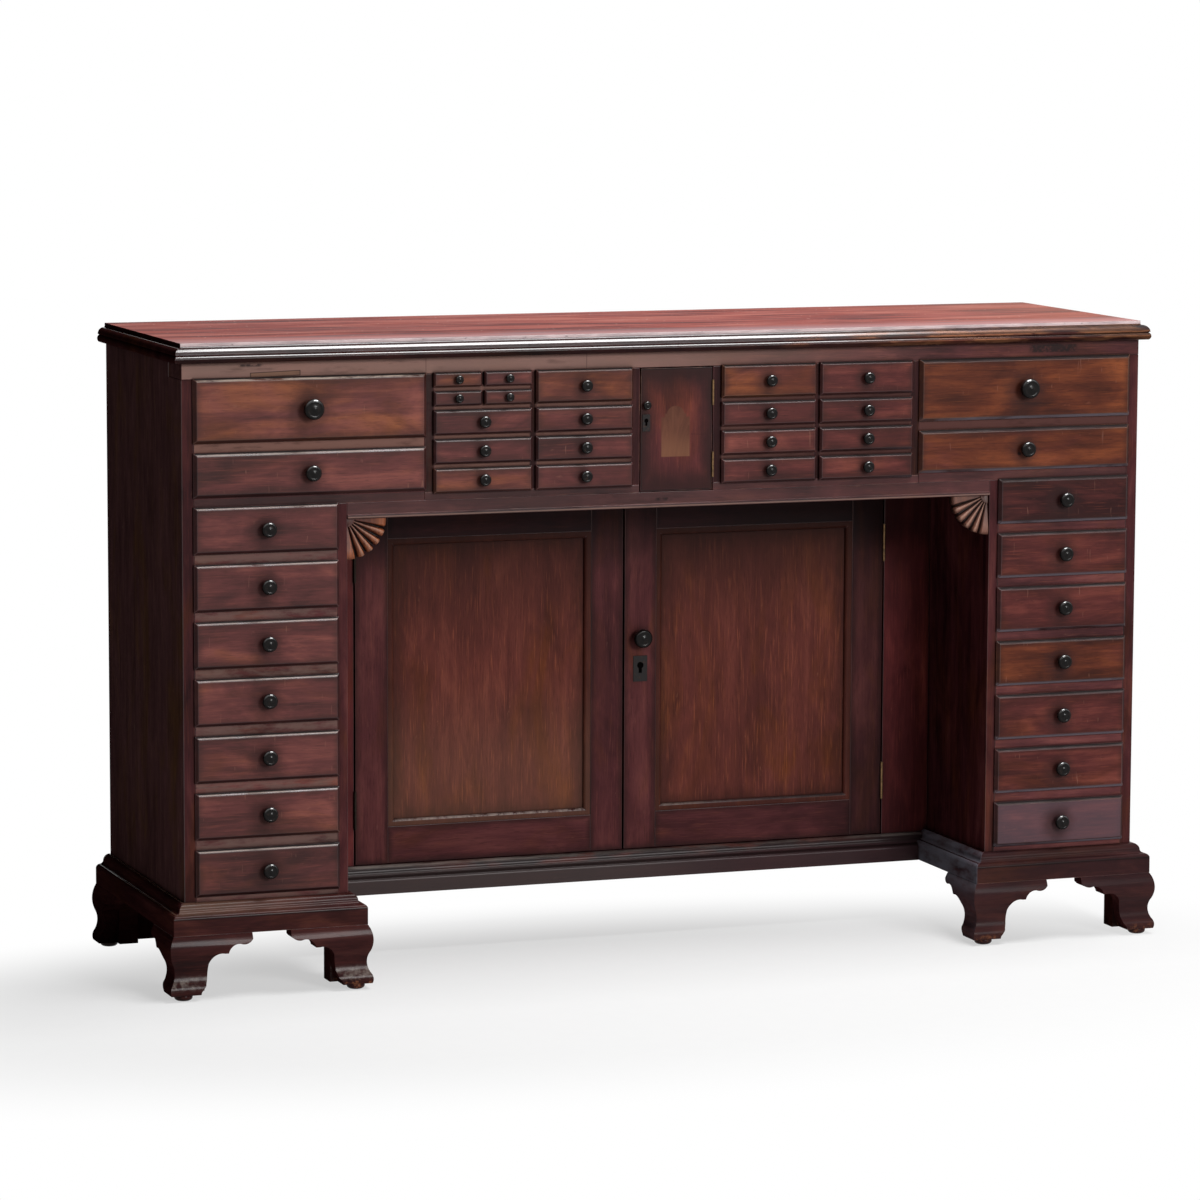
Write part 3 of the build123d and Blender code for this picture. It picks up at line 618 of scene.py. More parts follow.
def base_wear_and_light(s, wood):
    """Plinths and feet: kicked grey and chipped at the toes, black under the cupboard; painted
    shade on the right, on the base rail's bead and in its crease; painted highlights on the beads.
    """
    where, (x, y, z) = s.place()
    foot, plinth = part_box("bracket_feet"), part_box("plinth")
    blots = s.noise(where, (130, 130, 130), 4.0, 0.65)
    under = s.inside(x, -0.44, 0.44, 0.01) * (y > -0.14)
    rail = s.mix(s.step(x, -0.05, 0.2), (0.058, 0.043, 0.042), (0.043, 0.023, 0.025))
    toe = s.inside(z, foot[0].z + 0.008, foot[0].z + 0.022, 0.005) * (1 - s.step(x, -0.2, 0.2))
    chips = (1 - s.step(z, foot[0].z + 0.003, foot[0].z + 0.01)) * s.step(x, -0.6, -0.4)
    bead = s.step(z, plinth[0].z + 0.024, plinth[0].z + 0.028)
    low_bead = bead * under
    wear_and_highlight = s.step(s.noise(where, (14, 60, 60), 4.0, 0.7), 0.3, 0.62)
    ridge = low_bead * s.step(z, plinth[1].z - 0.0075, plinth[1].z - 0.0055) * wear_and_highlight
    stains = s.step(s.noise(where, (12, 40, 40), 3.0, 0.6), 0.45, 0.6)
    crease = s.inside(z, plinth[0].z + 0.0205, plinth[0].z + 0.0235, 0.001)
    return s.layers(
        wood,
        (under * 0.75, rail),
        (toe * s.step(blots, 0.4, 0.7) * 0.32, (0.33, 0.29, 0.255)),
        (chips * s.step(blots, 0.5, 0.62) * 0.6, (0.24, 0.085, 0.036)),
        # Painted shade: the base darker on the right.
        (s.step(x, 0.2, 0.45) * 0.4, (0.014, 0.009, 0.011)),
        # The plinth's bead pale: worn, and a painted highlight.
        (bead * (1 - under) * (1 - s.step(x, -0.68, -0.45)) * 0.2, (0.3, 0.18, 0.12)),
        # Painted shade over the base rail's bead, with a painted highlight along its top.
        (low_bead * 0.75, (0.014, 0.009, 0.009)),
        (ridge * (0.6 - s.step(x, -0.3, 0.05) * 0.35), (0.3, 0.255, 0.23)),
        (low_bead * s.inside(x, -0.25, 0.3, 0.1) * stains * 0.5, (0.11, 0.024, 0.017)),
        # Painted shade in the crease under the bead.
        (crease * 0.7, (0.006, 0.003, 0.003)),
    )


def end_sheen(s, wood):
    """The ends of mouldings, dark, with a bluish painted sheen inside the right pedestal."""
    where, (x, y, z) = s.place()
    blue_sheen = s.noise(where, (20, 20, 60), 4.0, 0.6)
    high_up = s.step(z, 0.06, 0.09) * 0.65 + 0.2
    inner = s.inside(x, 0.3, 0.47, 0.02) * (y < BASE_DEPTH)
    return s.mix(inner * s.step(blue_sheen, 0.2, 0.6) * high_up, wood, (0.29, 0.29, 0.35))


def mahogany(
    s, depth=1.0, dim=1.0, specular=0.1, shine=0.42, marks=None, flecked=0.35,
    tint=(1.0, 1.0, 1.0), rim=0.0, reach=0.012,
):
    """Polished old mahogany with clouds of dulled polish and pale scuffs, painted shade in its
    corners and, where a rim is given, edges darkened with grime and painted shade.
    """
    wood, noise = mahogany_grain(s, depth, flecked)
    scuffs = s.step(s.noise(noise.grain, (45, 160, 160), 3.0, 0.7), 0.66, 0.78)
    wood = s.mix(scuffs * 0.28, wood, colour("worn"))
    # Where a rim is given: grime and painted shade, darker towards the board's edges.
    if rim:
        dirt_and_shade = s.noise(noise.grain, (30, 90, 90), 4.0, 0.65)
        rim_grime_and_shade = 1 - s.step(edge_inset(s) + (dirt_and_shade - 0.5) * rim, 0.0, rim)
        wood = s.mix(rim_grime_and_shade * 0.7, wood, darkest(1.0))
    if marks:
        wood = marks(s, wood)
    wood = s.tinted(wood, times(tint, dim))
    # Painted shade: ambient occlusion darkens the corners and recesses.
    open_sky = s.add("ShaderNodeAmbientOcclusion", {"Distance": reach}, "AO", samples=4)
    wood = s.mix((1 - s.step(open_sky, 0.2, 0.95)) * 0.8, wood, darkest(0.3))
    rough = shine + (noise.clouds - 0.5) * 0.3 + (noise.streaks - 0.5) * 0.12
    height = noise.streaks * 0.5 + noise.pores * 0.35
    s.surface(wood, rough, s.bump(height, 0.12, 0.0006), specular)


def edge_wear_and_shade(s, share, dim, specular=0.3):
    """Arrises: in places rubbed pale, and dimmed by a share, which on fronts and panels is
    painted shade.
    """
    wood, noise = mahogany_grain(s)
    rubbed = s.noise(noise.grain, (28, 60, 60), 3.0, 0.65)
    wood = s.mix(s.step(rubbed, 0.9 - share, 1.15 - share) * 0.7, wood, colour("worn"))
    wood = s.tinted(wood, (dim, dim, dim))
    s.surface(wood, 0.22 + noise.clouds * 0.2, s.bump(noise.streaks, 0.1, 0.0004), specular)


def lip_bevel(s):
    """The sloping tops of the drawer fronts: darkened with painted shade, most on the right, black
    with painted shadow along their upper part, and pale on the left with dusty grey and a painted
    highlight.
    """
    wood, noise = mahogany_grain(s)
    _, (x, _, z) = s.place()
    _, up, _, half_height = front_place(s)
    dust_and_highlight = s.step(s.noise(noise.grain, (22, 90, 90), 4.0, 0.75), 0.36, 0.62)
    ridge = s.step(half_height - up, LIP_RISE * 0.4, LIP_RISE * 0.65)
    column = s.step(z, 0.6, 0.64) * s.step(x, -0.36, -0.34)
    right = s.step(x, 0.0, 0.3)
    left = (1 - s.step(x, -0.15, 0.25)) * (1 - column * 0.45)
    wood = s.layers(
        wood,
        # Painted shade over the whole slope, most on the right.
        (0.6 + right * 0.4, darkest(0.6)),
        # Painted shadow: black along the upper part of the slope.
        (1 - ridge, (0.004, 0.002, 0.002)),
        # Painted highlight with dusty grey along the lower part, on the left.
        (ridge * dust_and_highlight * left * 0.8, (0.3, 0.235, 0.205)),
        # More painted highlight on the highest fronts, under the top rail.
        (ridge * dust_and_highlight * s.step(z, 0.76, 0.78) * (1 - column) * 0.6, (0.42, 0.33, 0.26)),
    )
    rough = 0.24 + dust_and_highlight * 0.3 + (1 - ridge) * 0.6 + column * 0.08 + right * 0.3
    s.surface(wood, rough, s.bump(noise.streaks, 0.06, 0.0004), 0.4)


def bevel_shade_and_reflection(s):
    """The other bevels of the drawer fronts, black with painted shade; the lower ones grey on the
    right with a painted reflection.
    """
    wood, noise = mahogany_grain(s)
    _, (x, _, _) = s.place()
    _, up, _, half_height = front_place(s)
    # Painted shade over the side and lower bevels.
    wood = s.mix(0.85, wood, darkest(0.5))
    # Painted reflection: the lower bevels bluish grey on the right.
    under = s.step(up / half_height, -0.8, -0.95) * s.step(x, 0.25, 0.45)
    wood = s.mix(under * s.step(noise.clouds, 0.3, 0.5) * 0.8, wood, (0.125, 0.105, 0.125))
    s.surface(wood, 0.4 + noise.clouds * 0.2, s.bump(noise.streaks, 0.15, 0.0004), 0.1)


def polished_moulding(s, dim, specular, rubbed_end=0.8, shine=0.13, marks=None):
    """Mouldings with deep polish: crisp lights, nicks, and brown rubbed wood on the right."""
    wood, noise = mahogany_grain(s, 0.9)
    where, (x, _, _) = s.place()
    wood = s.tinted(wood, (dim, dim * 0.9, dim * 0.82))
    nicks = s.step(s.noise(where, (70, 240, 240), 3.0, 0.7), 0.69, 0.75)
    wood = s.mix(nicks * 0.8, wood, (0.004, 0.002, 0.002))
    wear_and_highlight = s.noise(noise.grain, (14, 70, 70), 4.0, 0.7)
    rubbed = s.step(x + (wear_and_highlight - 0.5) * 0.5, 0.1, 0.45) * rubbed_end
    wood = s.mix(rubbed * s.step(wear_and_highlight, 0.42, 0.6), wood, (0.085, 0.034, 0.016))
    if marks:
        wood = marks(s, wood)
    rough = shine + (noise.clouds - 0.5) * 0.08 + rubbed * 0.18 + nicks * 0.4
    s.surface(wood, rough, s.bump(wear_and_highlight, 0.025, 0.0005), specular, Metallic=rubbed * 0.9)


def fillet_wear_and_highlight(s):
    """The first fillet of the top, worn pale along its arrises, with a painted highlight."""
    noise = wood_noise(s)
    wear_and_highlight = s.noise(noise.grain, (20, 160, 160), 4.0, 0.7)
    # Painted highlight, worn in places: the fillet's colour is near white.
    pale = s.mix(s.step(wear_and_highlight, 0.3, 0.7), (0.33, 0.25, 0.255), (0.62, 0.48, 0.48))
    nicks = s.step(s.noise(noise.grain, (90, 240, 240), 3.0, 0.7), 0.62, 0.7)
    wood = s.mix(nicks * 0.8, pale, (0.03, 0.016, 0.014))
    s.surface(wood, 0.3 + noise.clouds * 0.2, s.bump(wear_and_highlight, 0.05, 0.0004), 0.4)


def faded_top(s):
    """The top: faded redder than the rest, rubbed dull, with scratches, stains, pale dusty specks,
    and a painted sheen towards the right.
    """
    wood, noise = mahogany_grain(s, 0.8)
    where, (x, y, _) = s.place()
    bands = s.noise(noise.grain, (4, 44, 44), 5.0, 0.65, 0.5)
    broad = s.noise(noise.grain, (1.6, 12, 12), 3.0, 0.55, 0.4)
    red = s.ramp(
        0.5 + (bands - 0.5) * 2.8 + (broad - 0.5) * 1.5 + (noise.streaks - 0.5) * 0.6,
        (0.1, (0.046, 0.008, 0.008)), (0.5, (0.18, 0.033, 0.025)), (0.9, (0.27, 0.086, 0.066)),
    )
    scratches = s.step(s.noise(where, (16, 260, 260), 3.0, 0.6, 0.8), 0.64, 0.74)
    specks = s.step(s.noise(where, (230, 120, 230), 1.0), 0.72, 0.8)
    stains = s.step(s.noise(where, (4, 14, 14), 4.0, 0.65), 0.58, 0.74)
    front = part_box("top_board")[0].y
    margin = 1 - s.step(y + (bands - 0.5) * 0.12, front, front + 0.11)
    faded = s.layers(
        red,
        (0.1, wood),
        (scratches * 0.6, (0.28, 0.15, 0.13)),
        (specks * 0.8, (0.42, 0.28, 0.24)),
        (stains * 0.5, (0.045, 0.009, 0.01)),
        # Painted sheen: lighter and warmer towards the right.
        (s.step(x + (broad - 0.5) * 0.5, 0.25, 0.66) * 0.25, (0.27, 0.12, 0.08)),
        (margin * 0.65, (0.29, 0.18, 0.185)),
    )
    bump = s.bump(noise.streaks + scratches * 0.4, 0.1, 0.0005)
    s.surface(faded, 0.5 + (noise.clouds - 0.5) * 0.25, bump, 0.02)


def lining_wood(s, dim=1.0):
    """Unpolished, dusty wood of the drawer boxes and of the back of the case."""
    grain = s.attribute("grain", "Vector")
    streaks = s.noise(grain, (8, 260, 260), 4.0, 0.6, 0.3)
    figure = s.noise(grain, (2, 40, 40), 3.0, 0.5, 0.6)
    dirt_and_shade = s.noise(grain, (9, 12, 12), 4.0, 0.6)
    base = times(colour("lining"), dim)
    wood = s.ramp(
        0.5 + (streaks - 0.5) * 0.7 + (figure - 0.5) * 0.6 + s.attribute("tone", "Fac"),
        (0.2, times(base, 0.45)), (0.55, base), (0.9, times(base, 1.6)),
    )
    wood = s.mix(s.step(dirt_and_shade, 0.5, 0.75) * 0.5, wood, times(base, 0.3))
    s.surface(wood, 0.72 + (dirt_and_shade - 0.5) * 0.2, s.bump(streaks, 0.2, 0.0006), 0.2)


def ebonised(s):
    """Black-stained turned wood, rubbed brown here and there, with a painted highlight: a coat only
    where it faces up.
    """
    where, _ = s.place()
    rub = s.noise(where, (160, 160, 160), 4.0, 0.65)
    rings = s.noise(where, (500, 60, 500), 2.0, 0.6)
    black = s.mix(s.step(rub, 0.56, 0.78) * 0.5, colour("ebony"), (0.045, 0.026, 0.019))
    upward = s.parts(s.add("ShaderNodeNewGeometry", None, "Normal"))[2]
    s.surface(
        black, 0.17 + (rub - 0.4) * 0.2, s.bump(rings, 0.02, 0.0004), 0.1,
        # Painted highlight: a coat that reflects only where the knob faces up.
        Coat_Weight=s.step(upward, 0.15, 0.7), Coat_Roughness=0.08, Coat_IOR=1.8,
    )


def old_iron(s):
    """Dark lock plates, nearly black, with a little rust."""
    where, _ = s.place()
    rust = s.noise(where, (240, 240, 240), 4.0, 0.7)
    rusty = s.step(rust, 0.5, 0.75)
    metal = s.mix(rusty, (0.012, 0.01, 0.01), (0.034, 0.016, 0.011))
    bump = s.bump(rust, 0.25, 0.0003)
    s.surface(metal, 0.38 + rust * 0.3, bump, 0.15, Metallic=0.25 - rusty * 0.2)


def keyhole_shadow(s):
    """Painted shade inside a keyhole, with a trace of dusty specks."""
    where, _ = s.place()
    dust_and_highlight = s.step(s.noise(where, (900, 900, 900), 2.0), 0.62, 0.75)
    dark = s.mix(dust_and_highlight * 0.3, (0.002, 0.0015, 0.0015), (0.02, 0.014, 0.012))
    s.surface(dark, 0.9, specular=0.0)


def old_brass(s):
    """Tarnished brass, brown in its hollows and nearly black on the left."""
    where, (x, _, _) = s.place()
    tarnish = s.noise(where, (180, 180, 180), 4.0, 0.65)
    metal = s.mix(s.step(tarnish, 0.4, 0.72), colour("brass"), (0.06, 0.036, 0.018))
    metal = s.mix(1 - s.step(x, -0.2, 0.0), metal, (0.016, 0.011, 0.008))
    shine = 0.9 - s.step(tarnish, 0.5, 0.8) * 0.35
    s.surface(metal, 0.3 + tarnish * 0.3, s.bump(tarnish, 0.15, 0.0002), Metallic=shine)


def carved_wood(s):
    """The fans: golden brown, darker towards the hub, with a painted highlight on their crests and
    painted shade in their grooves.
    """
    noise = wood_noise(s)
    crown = s.attribute("crown", "Fac")
    _, (x, _, z) = s.place()
    gold = s.mix(s.step(noise.streaks, 0.35, 0.65), (0.104, 0.03, 0.018), (0.256, 0.083, 0.042))
    low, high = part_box("fan_spandrels")
    out = away(high.x - x.size(), high.z - z) / (high.z - low.z)
    near, far = s.tinted(gold, (0.38, 0.34, 0.46)), s.tinted(gold, (1.06, 0.94, 0.66))
    gold = s.mix(s.step(out, 0.25, 0.95), near, far)
    gold = s.mix(s.step(x, -0.1, 0.1) * 0.7, gold, (0.12, 0.064, 0.052))
    # Painted highlight along the crests.
    gold = s.mix(s.step(crown, 0.9, 0.98) * 0.35, gold, (0.48, 0.27, 0.19))
    # Painted shade: near black in the grooves.
    wood = s.mix(s.step(crown, 0.2, 0.75), (0.012, 0.004, 0.003), gold)
    wood = s.mix(s.step(noise.pores, 0.56, 0.72) * 0.4, wood, darkest(1.0))
    bump = s.bump(noise.streaks, 0.15, 0.0005)
    s.surface(wood, 0.42 + (noise.clouds - 0.5) * 0.2, bump, 0.25)


def stock(name, make=mahogany, **settings):
    """A finish of mahogany, made when a piece first takes it."""
    return partial(finish, f"mahogany {name}", make, **settings)


SIDE = stock("side", depth=0.4, dim=0.85, specular=0.0, shine=0.8, tint=(1.0, 1.6, 1.55))
STILE = stock("stile", depth=0.8, dim=0.5, specular=0.06, tint=(1.0, 0.88, 0.95))
LIP = stock("lip", lip_bevel)
CASE_ARRIS = stock("case arris", edge_wear_and_shade, share=0.4, dim=0.8)
SIDE_ARRIS = stock("side arris", edge_wear_and_shade, share=0.3, dim=0.5)
PANEL_ARRIS = stock("panel arris", edge_wear_and_shade, share=0.15, dim=0.35)

# For each kind of board: its face, its arris and, for some kinds, its turned faces.
WOODS = {
    "case": (stock("case", depth=0.8, dim=1.1, marks=rails_wear_and_sheen, reach=0.006), CASE_ARRIS),
    "side": (SIDE, SIDE_ARRIS, STILE),
    "cheek": (
        stock("cheek", depth=0.7, dim=0.5, specular=0.0, shine=0.8, tint=(1.0, 0.9, 1.0)),
        SIDE_ARRIS, STILE,
    ),
    "front": (
        stock("front", rim=0.014, marks=dirt_sheen_and_shade),
        stock("front arris", edge_wear_and_shade, share=0.25, dim=0.45), LIP, stock("bevel", bevel_shade_and_reflection),
    ),
    "panel": (
        stock(
            "panel", depth=0.5, dim=0.95, specular=0.06, flecked=0.6, tint=(1.14, 1.02, 0.74),
            rim=0.036, marks=shaded_head,
        ),
        PANEL_ARRIS, LIP,
    ),
    "moulded": (
        stock(
            "moulded", polished_moulding, dim=0.36, specular=0.07, rubbed_end=0.0, shine=0.2,
            marks=base_wear_and_light,
        ),
        stock("moulded arris", edge_wear_and_shade, share=0.4, dim=0.6, specular=0.5),
        stock("moulded end", depth=0.6, dim=0.38, specular=0.0, shine=0.8, marks=end_sheen),
    ),
    "top": (
        stock("top", faded_top),
        stock("moulding arris", polished_moulding, dim=0.6, specular=0.4),
        stock("top moulding", polished_moulding, dim=0.24, specular=0.8),
        stock("top end", depth=0.6, dim=0.3, specular=0.0, shine=0.8),
        stock("top bead", polished_moulding, dim=0.2, specular=0.06),
        stock("top fillet", fillet_wear_and_highlight),
    ),
    "frieze": (stock("frieze", depth=0.8, marks=rail_marks), CASE_ARRIS, SIDE),
    "partition": (
        stock("partition", depth=0.8, specular=0.06, marks=pale_dividers, reach=0.004),
        CASE_ARRIS,
    ),
    "jamb": (
        stock(
            "jamb", depth=0.7, dim=1.7, specular=0.06, marks=kneehole_shade,
            tint=(1.0, 0.66, 0.66),
        ),
        SIDE_ARRIS,
    ),
    "door": (
        stock(
            "door", depth=0.6, dim=0.72, specular=0.06, tint=(1.02, 0.94, 0.98), rim=0.01,
            marks=kneehole_shade,
        ),
        PANEL_ARRIS,
    ),
    "small door": (
        stock("small door", depth=0.6, dim=0.86, marks=shield_mark, tint=(1.05, 0.8, 0.8)),
        CASE_ARRIS,
    ),
    "lining": (
        partial(finish, "drawer lining", lining_wood),
        partial(finish, "drawer lining edge", lining_wood, 0.8),
    ),
    "back": (
        partial(finish, "back board", lining_wood, 0.7),
        partial(finish, "back board joint", lining_wood, 0.12),
    ),
}


def woods(kind):
    """The materials of one kind of board."""
    return [make() for make in WOODS[kind]]


def slopes_up(normal, place):
    """The slope along the top of a drawer front or of a panel's moulding."""
    return normal.z > LEANS and normal.y < -LEANS


# The faces of some kinds that take their third and later materials, by their normals and places.
TURNED_FACES = {
    "side": [lambda normal, place: normal.y < -FACES],
    "cheek": [lambda normal, place: normal.y < -FACES],
    "moulded": [lambda normal, place: abs(normal.x) > LEANS or place.y > BASE_DEPTH],
    "frieze": [lambda normal, place: abs(normal.x) > LEANS],
    "panel": [slopes_up],
    "front": [slopes_up, lambda normal, place: normal.y > -0.95 and normal.z < LEANS],
}


def turn_faces(bm, kind):
    """Gives the turned faces of a softened board their own materials."""
    for f in bm.faces:
        if kind == "side" and f.normal.z > LEANS:
            f.material_index = 0
        if f.material_index == 0 or kind in ("moulded", "frieze"):
            for i, turned_so in enumerate(TURNED_FACES.get(kind, ())):
                if turned_so(f.normal, f.calc_center_median()):
                    f.material_index = i + 2


def solids_of(node):
    """Copies of a node's closed solids, each merged in a bmesh of its own."""
    mesh = NODES[node].data
    tree = KDTree(len(mesh.vertices))
    for v in mesh.vertices:
        tree.insert(v.co, v.index)
    tree.balance()
    shared = [min(i for _, i, _ in tree.find_range(v.co, MERGE)) for v in mesh.vertices]
    spans, loose, first = [], Counter(), 0
    for face in mesh.polygons:
        ring = [shared[i] for i in face.vertices]
        for a, b in zip(ring, ring[1:] + ring[:1]):
            if a != b:
                loose[min(a, b), max(a, b)] += 1 if a < b else -1
        if not any(loose.values()):
            spans.append((first, face.index + 1))
            first = face.index + 1
    if first < len(mesh.polygons):
        raise RuntimeError(f"{node} has an open solid")
    solids = []
    for first, last in spans:
        bm = bmesh.new()
        bm.from_mesh(mesh)
        others = [f for f in bm.faces if not first <= f.index < last]
        bmesh.ops.delete(bm, geom=others, context="FACES")
        bmesh.ops.remove_doubles(bm, verts=bm.verts, dist=MERGE)
        bmesh.ops.dissolve_limit(bm, angle_limit=FLAT_ANGLE, verts=bm.verts, edges=bm.edges)
        for f in bm.faces:
            f.material_index = 0
        solids.append(bm)
    return solids


def extent(bm):
    """Lowest and highest corner of a bmesh."""
    low = Vector([min(v.co[i] for v in bm.verts) for i in range(3)])
    high = Vector([max(v.co[i] for v in bm.verts) for i in range(3)])
    return low, high


def foremost(solids):
    """The solid that comes farthest to the front."""
    return min(solids, key=lambda bm: extent(bm)[0].y)


def soften(bm, width, arris=1):
    """Breaks the sharp edges of a solid; the new faces take the arris's material."""
    edges = [e for e in bm.edges if len(e.link_faces) == 2 and e.calc_face_angle() > ARRIS_ANGLE]
    made = bmesh.ops.bevel(
        bm, geom=edges, offset=width, offset_type="OFFSET", affect="EDGES", segments=2,
        profile=0.5, material=-1, clamp_overlap=True,
    )
    for f in made["faces"]:
        f.material_index = arris


def lay_grain(bm, axis, draw, tone=None, warmth=0.0):
    """Gives a board its own stretch of grain along an axis, and its own tone."""
    shift = Vector([draw.uniform(0.0, GRAIN_SHIFT) for _ in range(3)])
    tone = draw.uniform(-BOARD_TONE, BOARD_TONE) if tone is None else tone
    grain = bm.verts.layers.float_vector.new("grain")
    tones = bm.verts.layers.float.new("tone")
    warmths = bm.verts.layers.float.new("warmth")
    offsets = bm.verts.layers.float_vector.new("offset")
    halves = bm.verts.layers.float_vector.new("half")
    low, high = extent(bm)
    for v in bm.verts:
        v[offsets] = v.co - (low + high) / 2
        v[halves] = (high - low) / 2
        v[grain] = Vector([v.co[i] for i in GRAIN_ORDER[axis]]) + shift
        v[tones] = tone
        v[warmths] = warmth


def long_axis(bm, axes="xyz"):
    """The axis, of those named, along which a solid is longest."""
    low, high = extent(bm)
    return max(axes, key=lambda axis: (high - low)["xyz".index(axis)])


def joined(parts):
    """One bmesh of several, their layers kept."""
    whole = bmesh.new()
    for bm in parts:
        mesh = bpy.data.meshes.new("joining")
        bm.to_mesh(mesh)
        whole.from_mesh(mesh)
        bpy.data.meshes.remove(mesh)
        bm.free()
    return whole


def show(name, bm, body, materials, replaced=()):
    """Makes a piece of a bmesh, which rides on a body and stands for CAD nodes."""
    mesh = bpy.data.meshes.new(name)
    bm.to_mesh(mesh)
    bm.free()
    mesh.shade_smooth()
    for material in materials:
        mesh.materials.append(material)
    piece = bpy.data.objects.new(name, mesh)
    bpy.context.scene.collection.objects.link(piece)
    even = piece.modifiers.new("even shading", "WEIGHTED_NORMAL")
    even.keep_sharp = True
    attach(piece, body)
    if replaced:
        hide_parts(*replaced)


def top_piece():
    """The top: its flat faded, its mouldings still dark."""
    (bm,) = solids_of("top_board")
    crown = extent(bm)[1].z
    soften(bm, bpy.context.scene.cabinet_sizes.arris)
    for f in bm.faces:
        below = crown - f.calc_center_median().z
        if abs(f.normal.x) > LEANS:
            f.material_index = TOP_END
        elif below < TOP_FILLET and f.normal.z < FLAT:
            f.material_index = TOP_PALE
        elif f.material_index == 0 and below > MERGE:
            f.material_index = TOP_MOULDING if LEANS < f.normal.z < FLAT else TOP_BEAD
    lay_grain(bm, "x", random.Random("top_board"))
    show("top_board_wood", bm, "case", woods("top"), ["top_board"])


def boards(node, kind, axes="xyz", axis=None, arris=None, inner_tone=None):
    """A node's boards with broken edges and their own grain; the kneehole's may be darker."""
    draw = random.Random(node)
    width = arris or bpy.context.scene.cabinet_sizes.arris
    parts = []
    for bm in solids_of(node):
        low, high = extent(bm)
        inner = abs(low.x + high.x) < KNEEHOLE_REACH
        soften(bm, width)
        turn_faces(bm, kind)
        lay_grain(bm, axis or long_axis(bm, axes), draw, inner_tone if inner else None)
        parts.append(bm)
    show(f"{node}_wood", joined(parts), BODY_OF[node], woods(kind), [node])


def turned(profile, seat, diameter, reach, axis):
    """A turned piece on an axis from its seat, its heights scaled to reach so far."""
    bm = bmesh.new()
    side = Vector((1, 0, 0)) * diameter
    along = Vector(axis) * (reach / profile[-1][1])
    rim = [bm.verts.new(seat + side * r + along * h) for r, h in profile]
    line = [bm.edges.new(pair) for pair in zip(rim, rim[1:])]
    bmesh.ops.spin(
        bm, geom=rim + line, cent=seat, axis=axis, angle=2 * math.pi,
        steps=bpy.context.scene.cabinet_sizes.knob_steps, use_merge=True,
    )
    bmesh.ops.remove_doubles(bm, verts=bm.verts, dist=MERGE)
    bmesh.ops.recalc_face_normals(bm, faces=bm.faces)
    return bm


def show_knob(node, bm):
    """The turned knob of a node, from its seat towards the front, in place of its plain solid."""
    low, high = extent(bm)
    bm.free()
    diameter = max(high.x - low.x, high.z - low.z)
    seat = Vector(((low.x + high.x) / 2, high.y, (low.z + high.z) / 2))
    knob = turned(KNOB_PROFILE, seat, diameter, diameter * KNOB_PROFILE[-1][1], (0, -1, 0))
    show(f"{node}_knob", knob, BODY_OF[node], [finish("ebonised knob", ebonised)])


class CABINET_OT_case(bpy.types.Operator):
    """Softens and grains the boards of the case"""

    bl_idname = "cabinet.case"
    bl_label = "Case"

    def execute(self, context):
        top_piece()
        boards("end_panels", "side", axis="z")
        boards("kneehole_cheeks", "cheek", axis="z")
        boards("back_boards", "back", axis="z", arris=BACK_ARRIS)
        boards("frieze_frame", "frieze", axis="x")
        boards("frieze_partitions", "partition", axes="xz")
        boards("pedestal_boards", "case", axis="x")
        boards("cupboard_surround", "jamb", axes="xz")
        return {"FINISHED"}


class CABINET_OT_base(bpy.types.Operator):
    """Softens and grains the plinths, the ogee feet and their pads"""

    bl_idname = "cabinet.base"
    bl_label = "Plinths and feet"

    def execute(self, context):
        boards("plinth", "moulded", axes="xy", inner_tone=INNER_TONE)
        boards("bracket_feet", "moulded", axes="xy")
        pads = []
        draw = random.Random("foot_pads")
        for bm in solids_of("foot_pads"):
            low, high = extent(bm)
            bm.free()
            seat = Vector(((low.x + high.x) / 2, (low.y + high.y) / 2, high.z))
            pads.append(turned(PAD_PROFILE, seat, high.x - low.x, high.z - low.z, (0, 0, -1)))
            lay_grain(pads[-1], "x", draw)
        show("foot_pads_wood", joined(pads), "case", woods("moulded"), ["foot_pads"])
        return {"FINISHED"}


def rib_height(turn):
    """Height of the carving across the fan, from 0 in a groove to 1 on a crest."""
    rib = min(int(turn * FAN_RIBS), FAN_RIBS - 1)
    across = turn * FAN_RIBS - rib
    if rib in (0, FAN_RIBS - 1):
        return FLAT_RIB * min(1.0, (across if rib else 1 - across) / FAN_GROOVE)
    flank = (FAN_CREST if across < FAN_CREST else 1 - FAN_CREST) - FAN_GROOVE / 2
    return math.sqrt(max(0.0, 1 - ((across - FAN_CREST) / flank) ** 2))


